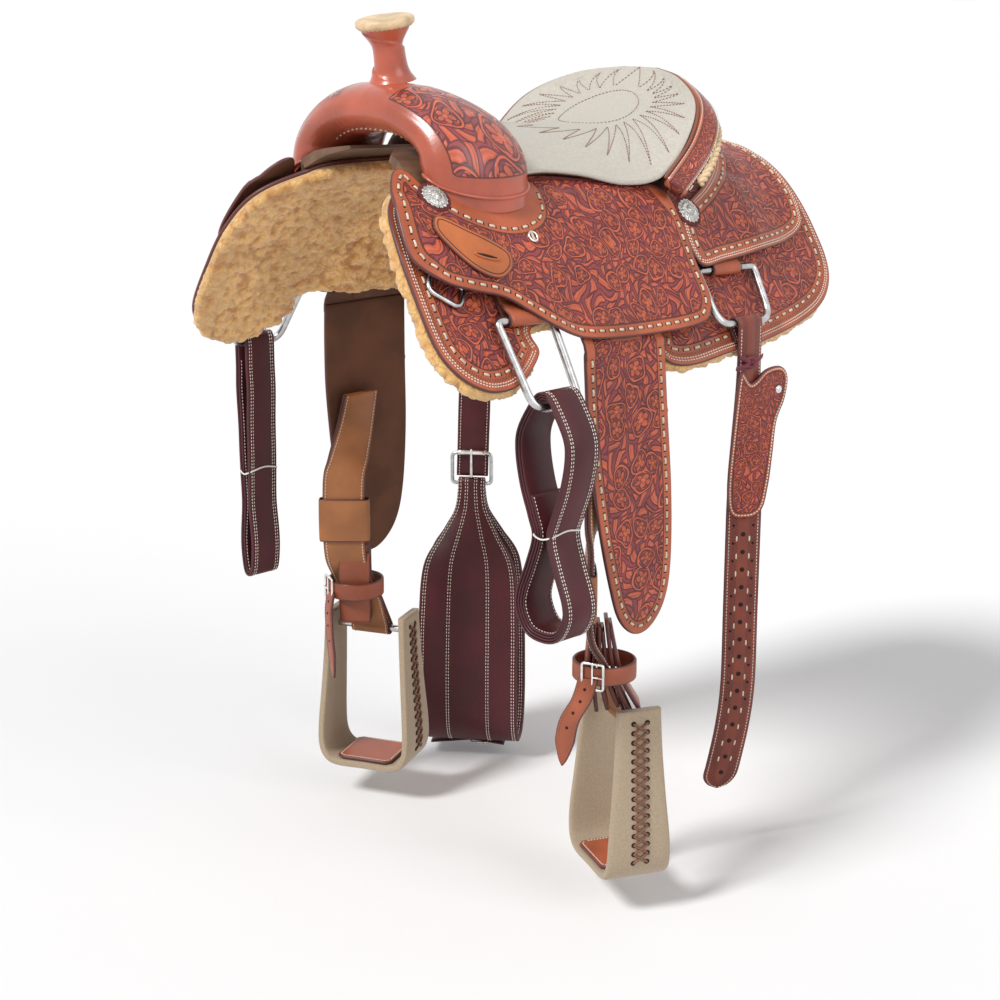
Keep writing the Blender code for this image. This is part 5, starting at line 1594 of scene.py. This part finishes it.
def flank_across():
    return np.array((sin(FLANK_TWIST), cos(FLANK_TWIST), 0))


def flank_back():
    return np.array((-cos(FLANK_TWIST), sin(FLANK_TWIST), 0))


def flank_bar():
    return np.array((billet_head(-1)[-1][0], FLANK_Y, BUCKLE_BAR_Z)) - flank_back() * BUCKLE_FRONT


def build_flank_billet():
    """The off side's billet, which turns on its way down to the flank buckle."""
    head = billet_head(-1)
    top = np.array((head[-1][0], BILLET_Y, -0.200))
    foot = flank_bar() + flank_back() * BUCKLE_FRONT + (0, 0, 0.0100)
    shares = np.linspace(0, 1, 50)
    turn = FLANK_TWIST * smooth_step(np.minimum(shares / 0.8, 1.0))
    path = np.vstack([head, mix(top, foot, shares[:, None])])
    twisting = np.stack([np.sin(turn), np.cos(turn), 0 * turn], axis=1)
    across = np.vstack([np.tile((0.0, 1.0, 0.0), (len(head), 1)), twisting])
    item, normal = strap("flank_billet_leather", path, across, BILLET_WIDTH, STRAP_LEATHER)
    body = "flank_billet_right"
    settle(item, body, "maroon", body)
    low = slice(12, None)
    strap_rows("flank_billet_sewing", path[low], across[low], BILLET_WIDTH, normal[low], STRAP_LEATHER,
               0.0042, body)


def build_flank_buckle():
    """A roller buckle of round wire with its tongue."""
    bar = flank_bar()
    half, up = flank_across() * (BUCKLE_WIDTH / 2), np.array((0, 0, BUCKLE_HEIGHT))
    corners = [bar - half, bar + half, bar + half + up, bar - half + up]
    wire = resample(rounded_corners(corners, (0.006, 0.006, 0.008, 0.008)), 0.002, closed=True)
    settle(tube("flank_buckle_wire", wire, SMALL_WIRE, closed=True, sides=14), "flank_buckle", "steel",
           "flank_buckle")
    roller = bar + up + np.outer(np.linspace(-0.019, 0.019, 12), flank_across())
    settle(tube("flank_buckle_roller", roller, SMALL_WIRE + 0.0011, sides=14), "flank_buckle", "polished")
    front = bar - flank_back() * BUCKLE_FRONT
    tongue = front + np.outer(np.linspace(0.0105, BUCKLE_HEIGHT + 0.006, 12), (0, 0, 1))
    tongue = tube("flank_tongue_wire", tongue, np.linspace(0.0022, 0.0015, 12), sides=10)
    settle(tongue, "flank_buckle_tongue", "polished", "flank_buckle_tongue")


def build_flank_cinch():
    """The wide flank cinch, doubled, with its rows of sewing and the small strap at its foot."""
    bar, across, back = flank_bar(), flank_across(), flank_back()
    top = SMALL_WIRE + 0.0012 + CINCH_LEATHER / 2
    drop = 0.397
    half = [
        # out, up, width
        (0.80 * top, 0.60 * top, 0.040), (top, -0.010, 0.040), (0.009, -0.040, 0.050),
        (0.020, -0.075, 0.088), (0.032, -0.120, 0.136), (0.044, -0.200, 0.148), (0.052, -0.295, 0.150),
        (0.048, -0.360, 0.150), (0.026, -0.391, 0.150),
    ]
    loop = [(0.0, top, 0.040)] + half + [(0.0, -drop, 0.150)]
    loop += [(-x, z, width) for x, z, width in reversed(half)]
    x, z, widths = smooth_curve(loop, 8, closed=True).T
    path = bar + np.outer(x, back) + np.outer(z, (0, 0, 1))
    item, normal = strap("flank_cinch_leather", path, across, widths, CINCH_LEATHER, closed=True)
    settle(item, "flank_cinch", "maroon", "flank_cinch")
    reaches = [sign * (widths * share / 2 - gap) for share in (0.93, 0.42) for gap in (0.0, 0.0034)
               for sign in (1, -1)]
    rows = sewing(path, [np.outer(reach, across) for reach in reaches], normal, (1, -1),
                  CINCH_LEATHER / 2 + THREAD_LIFT, CINCH_STITCH, closed=True)
    settle(join("flank_cinch_sewing", rows), "flank_cinch", "thread")
    foot = bar - (0, 0, drop)
    small = [foot + across * t - (0, 0, 0.0042 + 0.006 * abs(t) / 0.05)
             for t in np.linspace(-0.062, 0.050, 20)]
    settle(strap("small", small, back, 0.020, 0.0030)[0], "flank_cinch", "maroon")
    buckle = foot + across * 0.012 - (0, 0, 0.0075) + ring(across * 0.013, back * 0.014, 32, 4)
    settle(tube("flank_cinch_small_buckle", buckle, 0.0016, closed=True, sides=10), "flank_cinch", "steel")


# Fender, stirrup leather and stirrup

BUCKLE_ROUND = radians(24)
LEATHER_RUN = [
    # centre, twist of the leather's face from sideways toward the front
    ((0.228, -0.068, -0.285), 0.0),
    ((0.229, -0.078, -0.330), 8.0),
    ((0.230, -0.090, -0.375), 26.0),
    ((0.231, -0.098, -0.410), 45.0),
    ((0.231, -0.098, -0.505), 45.0),
    ((0.235, -0.082, -0.545), 50.0),
    ((0.238, -0.060, -0.585), 60.0),
]


def lift_axis():
    return on_side(LIFT_RUN, SWING_Y, LIFT_FACE)


def fender_hang(a, b, lift, side):
    """A flat point of the fender, which hangs from its hinge and leans out as it goes down."""
    hinge = lift_axis()
    drop = b - HINGE_GAP / 2
    out = hinge[0] - FENDER_LEAN * drop - FENDER_LEATHER + lift
    return np.stack([side * out, SWING_Y + a, hinge[2] + drop], axis=-1)


CARRIER_TOP = 0.160
BEND_LEATHER = 0.0030
BEND_REACH = 0.015
BEND_SPREAD = (-0.0735, 0.0675)


def build_fender(side, word):
    """The fender, with its lacing, and the strap that carries it."""
    hang = partial(fender_hang, side=side)
    fender, carrier = "fender_" + word, "leather_top_" + word
    half, low = LEATHER_WIDTH / 2, LIFT_RUN - HINGE_GAP
    corners = [(CARRIER_TOP, SWING_Y - half), (CARRIER_TOP, SWING_Y + half), (low, SWING_Y + half),
               (low, SWING_Y - half)]
    top = cut("fender_strap_" + word, resample(corners, 0.003, closed=True), partial(on_side, side=side),
              level(LIFT_FACE - FENDER_LEATHER), level(LIFT_FACE), 0.005)
    settle(top, carrier, "plain", carrier)
    line = resample(np.vstack([smooth_curve(FENDER, 8), FENDER[:1]]), 0.003, closed=True)
    taller = line + np.where(line[:, 1:] > -0.002, (0.0, 0.050), (0.0, 0.0))
    item = cut("fender_leather_" + word, line, hang, level(0.0), level(FENDER_LEATHER), 0.004, trim=taller)
    settle(item, fender, "fender", fender)
    lacing = inset(taller, 0.0105)
    lacing = lacing[lacing[:, 1] < -0.0010]
    start = int(np.argmax(np.linalg.norm(np.diff(closed_line(lacing), axis=0), axis=1))) + 1
    buckstitch("fender_lacing_" + word, hang, level(FENDER_LEATHER), np.roll(lacing, -start, axis=0), fender)


def build_fender_bend(side, word):
    """The bend of leather between the fender and the strap that carries it."""
    spread = np.linspace(*BEND_SPREAD, 37)
    rows = [on_side(run, SWING_Y + spread, LIFT_FACE - 0.0004, side)
            for run in np.linspace(LIFT_RUN - BEND_REACH, LIFT_RUN - HINGE_GAP - 0.001, 7)]
    rows += [fender_hang(spread, drop + 0 * spread, FENDER_LEATHER + 0.0002, side)
             for drop in np.linspace(0.0002, -0.010, 5)]
    outer = np.array(rows)
    inner = outer - (side * BEND_LEATHER, 0, 0)
    loop = np.concatenate([outer, inner[:, ::-1]], axis=1)
    to_side = np.minimum(spread - spread[0], spread[-1] - spread)
    edge = np.tile(np.concatenate([to_side, -to_side]), (len(rows), 1))
    bend = surface("fender_bend_" + word, loop, around=True, caps=True, edge=edge)
    bend.data.materials.append(FINISHES["fender"])
    hinge = lift_axis()
    ends = [Vector((side * hinge[0], SWING_Y, hinge[2] + by)) for by in (0.006, -0.006)]
    "leather_top_" + word
    "fender_" + word
    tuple(ends[0])
    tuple(ends[1])
    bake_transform(bend)


def build_stirrup_leather(side, word):
    """Two plies of leather that come down behind the fender and turn round the stirrup's bolt."""
    gap = STRAP_LEATHER / 2 + 0.0005
    reach = BOLT_RADIUS + 0.0012 + STRAP_LEATHER / 2
    keys = smooth_curve([(*centre, twist) for centre, twist in LEATHER_RUN], 8)
    angle = np.radians(keys[:, 3])
    normal = np.stack([np.cos(angle), np.sin(angle), 0 * angle], axis=1)
    wide = np.stack([-np.sin(angle), np.cos(angle), 0 * angle], axis=1)
    down, back = keys[:, :3] - normal * gap, keys[:, :3] + normal * gap
    axis = (-cos(STIRRUP_YAW), sin(STIRRUP_YAW), 0)
    way = (sin(STIRRUP_YAW), cos(STIRRUP_YAW), 0)
    turns = np.radians(np.linspace(150, 390, 19))
    eye = np.outer(reach * np.cos(turns), way) + np.outer(reach * np.sin(turns), (0, 0, 1))
    eye = np.array(BOLT_CENTRE) + eye
    path = mirrored(np.vstack([down, eye, back[::-1]]), side)
    across = mirrored(np.vstack([wide, np.tile(axis, (len(eye), 1)), wide[::-1]]), side)
    item, off = strap("stirrup_leather_strap_" + word, path, across, LEATHER_WIDTH, STRAP_LEATHER)
    settle(item, "fender_" + word, "tan", "stirrup_leather_" + word)
    strap_rows("stirrup_leather_sewing_" + word, path, across, LEATHER_WIDTH, off, STRAP_LEATHER, 0.0042,
               "fender_" + word)


def build_sleeve(side, word):
    """The leather sleeve that slides over the stirrup leather's buckle."""
    centre = (np.array(LEATHER_RUN[3][0]) + np.array(LEATHER_RUN[4][0])) / 2
    centre[2] = SLEEVE_Z
    across = np.array((-sin(SLEEVE_TWIST), cos(SLEEVE_TWIST), 0))
    normal = np.array((cos(SLEEVE_TWIST), sin(SLEEVE_TWIST), 0))
    half = SLEEVE_HEIGHT / 2
    lip = [(half - 0.0014, 0.0), (half + 0.0004, -0.0008), (half, -0.0018)]
    profile = [(-z, swell) for z, swell in reversed(lip)]
    profile += [(z, 0.0004 * cos(z / half * 1.5)) for z in np.linspace(-half + 0.004, half - 0.004, 12)]
    rings, edges = [], []
    for z, swell in profile + lip:
        circle = ring(across * (0.0350 + swell), normal * (0.0088 + swell), 60, 5)
        rings.append(mirrored(centre + circle + (0, 0, z), side))
        edges.append(np.full(len(circle), half - abs(z) + 0.0004))
    item = surface("buckle_sleeve_leather_" + word, rings, around=True, edge=edges)
    settle(item, "buckle_sleeve_" + word, "tan", "buckle_sleeve_" + word)


HOBBLE_LEATHER = 0.0036
HOBBLE_CENTRE = np.array((0.2365, -0.0745, HOBBLE_Z))
HOBBLE_FIRST = np.array((cos(radians(45)), sin(radians(45)), 0))
HOBBLE_SECOND = np.array((-HOBBLE_FIRST[1], HOBBLE_FIRST[0], 0))


def build_hobble_strap(side, word):
    """The short strap buckled round the leathers, its square buckle and its punched end."""
    body, up = "fender_" + word, np.array((0, 0, 1.0))
    centre, first, second = HOBBLE_CENTRE, HOBBLE_FIRST, HOBBLE_SECOND
    circle = mirrored(centre + ring(first * 0.0382, second * 0.0374, 72), side)
    band, _ = strap("hobble_band_" + word, circle, (0, 0, 1), 0.024, HOBBLE_LEATHER, closed=True)
    face = -second * cos(BUCKLE_ROUND) - first * sin(BUCKLE_ROUND)
    along = first * cos(BUCKLE_ROUND) - second * sin(BUCKLE_ROUND)
    start = centre + face * 0.0390 - along * 0.006
    steps = ((0.0, 0.0, 0.004), (0.006, 0.006, 0.030), (0.010, 0.022, 0.064), (0.008, 0.030, 0.120))
    tail = smooth_curve([start + face * out - along * by - up * down for out, by, down in steps], 14)
    tail = mirrored(tail, side)
    widths = 0.027 * np.clip((np.linalg.norm(tail - tail[-1], axis=1) / 0.034) ** 0.6, 0.10, 1.0)
    across = mirrored(along, side)
    end, normal = strap("hobble_tail", tail, across, widths, HOBBLE_LEATHER)
    settle(join("hobble_strap_leather_" + word, [band, end]), body, "strap", "hobble_strap_" + word)
    outward = normal * np.sign(normal @ mirrored(face, side))[:, None]
    strap_rows("hobble_tail_sewing_" + word, tail[:-5], across, widths[:-5], outward[:-5], HOBBLE_LEATHER,
               0.0034, body, "brown_thread")
    holes = [dot(tail[i] + outward[i] * 0.0020, outward[i], 0.0020) for i in range(8, len(tail) - 8, 7)]
    settle(join("hobble_tail_holes_" + word, holes), body, "hole")
    spot = centre + face * 0.0400
    wide, high = along * 0.014, up * 0.0165
    corners = [spot - wide - high, spot + wide - high, spot + wide + high, spot - wide + high]
    square = resample(rounded_corners(corners, (0.003,) * 4), 0.0015, closed=True)
    buckle = tube("hobble_buckle_" + word, mirrored(square, side), 0.0018, closed=True, sides=10)
    settle(buckle, body, "polished")
    bar = spot + face * 0.0012 + np.outer(np.linspace(-0.0160, 0.0160, 10), up)
    tongue = spot + face * 0.0024 + np.outer(np.linspace(0.0, 0.015, 8), along)
    hardware = [tube("bar", mirrored(bar, side), 0.0013, sides=8),
                tube("tongue", mirrored(tongue, side), 0.0012, sides=8)]
    settle(join("hobble_buckle_tongue_" + word, hardware), body, "polished")


def build_strap_ends(side, word):
    """The fan of strap ends held edge on in the hobble strap, spreading below it."""
    plies = []
    count = 6
    for i in range(count):
        part = i / (count - 1) - 0.5
        length = 0.006 * ((i * 5) % 3)
        keys = ((part * 0.024 - 0.006, 0.052 + length), (part * 0.036 - 0.003, 0.014),
                (part * 0.046, -0.014), (part * 0.066 + 0.010, -0.046 - length * 0.5))
        points = [HOBBLE_CENTRE + HOBBLE_FIRST * along + (0, 0, up) for along, up in keys]
        path = mirrored(smooth_curve(points, 8), side)
        plies.append(strap("ply", path, mirrored(HOBBLE_SECOND, side), 0.044 - 0.004 * (i % 2), 0.0050)[0])
    settle(join("hobble_strap_ends_" + word, plies), "fender_" + word, "strap")


STIRRUP_SIDE = [
    # half width out from the middle, height, half depth
    (0.0560, -0.606, 0.0285),
    (0.0580, -0.660, 0.0310),
    (0.0615, -0.720, 0.0355),
    (0.0650, -0.775, 0.0405),
    (0.0640, -0.805, 0.0420),
    (0.0560, -0.822, 0.0425),
    (0.0400, -0.829, 0.0425),
]
LACED_FROM = -0.618
LACED_TO = -0.806
TREAD = [(-0.042, -0.033), (-0.034, -0.040), (0.034, -0.040), (0.042, -0.033),
         (0.042, 0.033), (0.034, 0.040), (-0.034, 0.040), (-0.042, 0.033)]


def stirrup_place(out, through, z, side):
    """Points by their way out from the stirrup's middle, through it from the front, and their height."""
    c, s = cos(STIRRUP_YAW), sin(STIRRUP_YAW)
    ways = np.array(((c, -s, 0), (s, c, 0), (0, 0, 1)))
    out, through, rise = np.broadcast_arrays(out, through, np.asarray(z) - BOLT_CENTRE.z)
    return mirrored(np.array(BOLT_CENTRE) + np.stack([out, through, rise], axis=-1) @ ways, side)


def build_stirrup(side, word):
    """A bell stirrup covered in rough leather, laced up both sides, with its tread and bolt."""
    body = "stirrup_" + word
    place = partial(stirrup_place, side=side)
    other_side = [(-out, z, depth) for out, z, depth in STIRRUP_SIDE[::-1]]
    line = smooth_curve(STIRRUP_SIDE + [(0.0, STIRRUP_FLOOR, 0.0425)] + other_side, 8)
    way = unit(np.gradient(line[:, :2], axis=0))
    rings = []
    for (out, z, depth), (wx, wz) in zip(line, way):
        section = ring((depth, 0), (0, STIRRUP_WALL / 2), 40, 7)
        rings.append(place(out - wz * section[:, 1], section[:, 0], z + wx * section[:, 1]))
    item = surface("stirrup_roughout_" + word, rings, around=True, caps=True)
    settle(item, body, "roughout", body)

    laced_part = (line[:, 1] < LACED_FROM) & (line[:, 1] > LACED_TO)
    holes, laces = [], []
    for sign in (1, -1):
        run = line[laced_part & (np.sign(line[:, 0]) == sign)]
        run = resample(run[np.argsort(-run[:, 1])], 0.0125)
        outward = sign * (place(1.0, 0.0, 0.0) - place(0.0, 0.0, 0.0))
        face = run[:, :1] + sign * (STIRRUP_WALL / 2 + 0.0004)
        pairs = place(face, (-0.0092, 0.0092), run[:, 1:2])
        holes += [dot(spot, outward, 0.0034) for spot in pairs.reshape(-1, 3)]
        pairs = pairs + outward * 0.0007
        for upper, lower in zip(pairs, pairs[1:]):
            for start, end in zip(upper, lower[::-1]):
                middle = (start + end) / 2 + outward * 0.0010
                laces.append(tube("lace", smooth_curve([start, middle, end], 4), 0.0016, sides=8))
    settle(join("stirrup_holes_" + word, holes), body, "hole")
    settle(join("stirrup_lacing_" + word, laces), body, "brown_lace")

    floor = STIRRUP_FLOOR + STIRRUP_WALL / 2 + 0.0004
    lie = lambda a, b, lift: place(a, b, floor + lift)
    outline = resample(TREAD, 0.002, closed=True)
    tread = cut("stirrup_tread_leather_" + word, outline, lie, level(0.0), level(0.0045), 0.003)
    settle(tread, body, "plain", "stirrup_tread_" + word)
    seam("stirrup_tread_sewing_" + word, lie, level(0.0045), inset(outline, 0.0040), body)
    reach = STIRRUP_SIDE[0][0] + 0.0003
    bolt = place(np.linspace(-reach, reach, 12), 0.0, BOLT_CENTRE.z)
    bolt = tube("stirrup_bolt_steel_" + word, bolt, BOLT_RADIUS, sides=24)
    settle(bolt, body, "steel", "stirrup_bolt_" + word)


# The set


def build_floor():
    size, drop = 60.0, -0.885
    points = [(-size, -size, drop), (size, -size, drop), (size, size, drop), (-size, size, drop)]
    floor = make_object("floor", points, [(0, 1, 2, 3)])
    floor.data.materials.append(floor_finish())


def add_sun(name, direction, strength, spread):
    data = bpy.data.lights.new(name, "SUN")
    data.energy = strength
    data.angle = radians(spread)
    lamp = add_object(name, data)
    lamp.rotation_euler = Vector(direction).to_track_quat("-Z", "Y").to_euler()


def build_lights():
    """A soft key from above on the viewer's left, a weaker fill from the right, and an even pale room."""
    add_sun("key_light", (0.05, 0.95, -1.0), 2.5, 14)
    add_sun("fill_light", (-1.0, -0.10, -0.55), 0.9, 40)
    world = bpy.data.worlds.new("studio")
    bpy.context.scene.world = world
    world.use_nodes = True
    tree = world.node_tree
    tree.nodes.clear()
    path, lit, seen, white, either, output = [tree.nodes.new("ShaderNode" + kind) for kind in (
        "LightPath", "Background", "Background", "Math", "MixShader", "OutputWorld")]
    lit.inputs["Color"].default_value = (0.45, 0.45, 0.46, 1.0)
    seen.inputs["Color"].default_value = (1.0, 1.0, 1.0, 1.0)
    white.operation = "MAXIMUM"
    for start, end in ((path.outputs["Is Camera Ray"], white.inputs[0]),
                       (path.outputs["Is Glossy Ray"], white.inputs[1]),
                       (white.outputs[0], either.inputs[0]), (lit.outputs[0], either.inputs[1]),
                       (seen.outputs[0], either.inputs[2]), (either.outputs[0], output.inputs["Surface"])):
        tree.links.new(start, end)
    bpy.context.scene.view_settings.view_transform = "Standard"


def build_camera():
    """The photograph's camera: its bearing, height and lens, found from the straight lines in it."""
    bearing, pitch, roll = radians(45.304), radians(15.077), radians(0.136)
    place = Vector((1.8008, -1.8056, 0.2801))
    forward = Vector((-sin(bearing) * cos(pitch), cos(bearing) * cos(pitch), -sin(pitch)))
    right = forward.cross(Vector((0, 0, 1))).normalized()
    up = right.cross(forward)
    turn = Matrix((right, up, -forward)).transposed() @ Matrix.Rotation(roll, 3, "Z")
    data = bpy.data.cameras.new("photo_camera")
    data.sensor_width = 36.0
    data.lens = 71.45
    camera = add_object("photo_camera", data)
    camera.matrix_world = Matrix.Translation(place) @ turn.to_4x4()
    bpy.context.scene.camera = camera


def dress_tree():
    """The hidden wood and metal of the tree keep their CAD shapes."""
    # The wood's dark brown is painted shade for where the tree shows between the leathers.
    for node, finish in (("tree_bar_left", "wood"), ("tree_bar_right", "wood"), ("tree_fork", "wood"),
                         ("tree_cantle", "wood"), ("tree_horn", "steel"), ("ground_seat", "plain")):
        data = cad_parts[node].data
        data.materials.clear()
        data.materials.append(FINISHES[finish])


def main():
    dress_tree()
    for build in (build_swell, build_horn, build_seat, build_cantle, build_braid, build_keeper):
        build()
    for side, word in ((1, "left"), (-1, "right")):
        for build in (build_skirt, build_jockeys, build_conchos, build_button, build_dees, build_fender,
                      build_fender_bend, build_stirrup_leather, build_sleeve, build_hobble_strap,
                      build_strap_ends, build_stirrup):
            build(side, word)
    for latigo in LATIGOS:
        build_latigo(*latigo)
    for build in (build_near_billet, build_billet_keeper, build_flank_billet, build_flank_buckle,
                  build_flank_cinch, build_floor, build_lights, build_camera):
        build()


main()
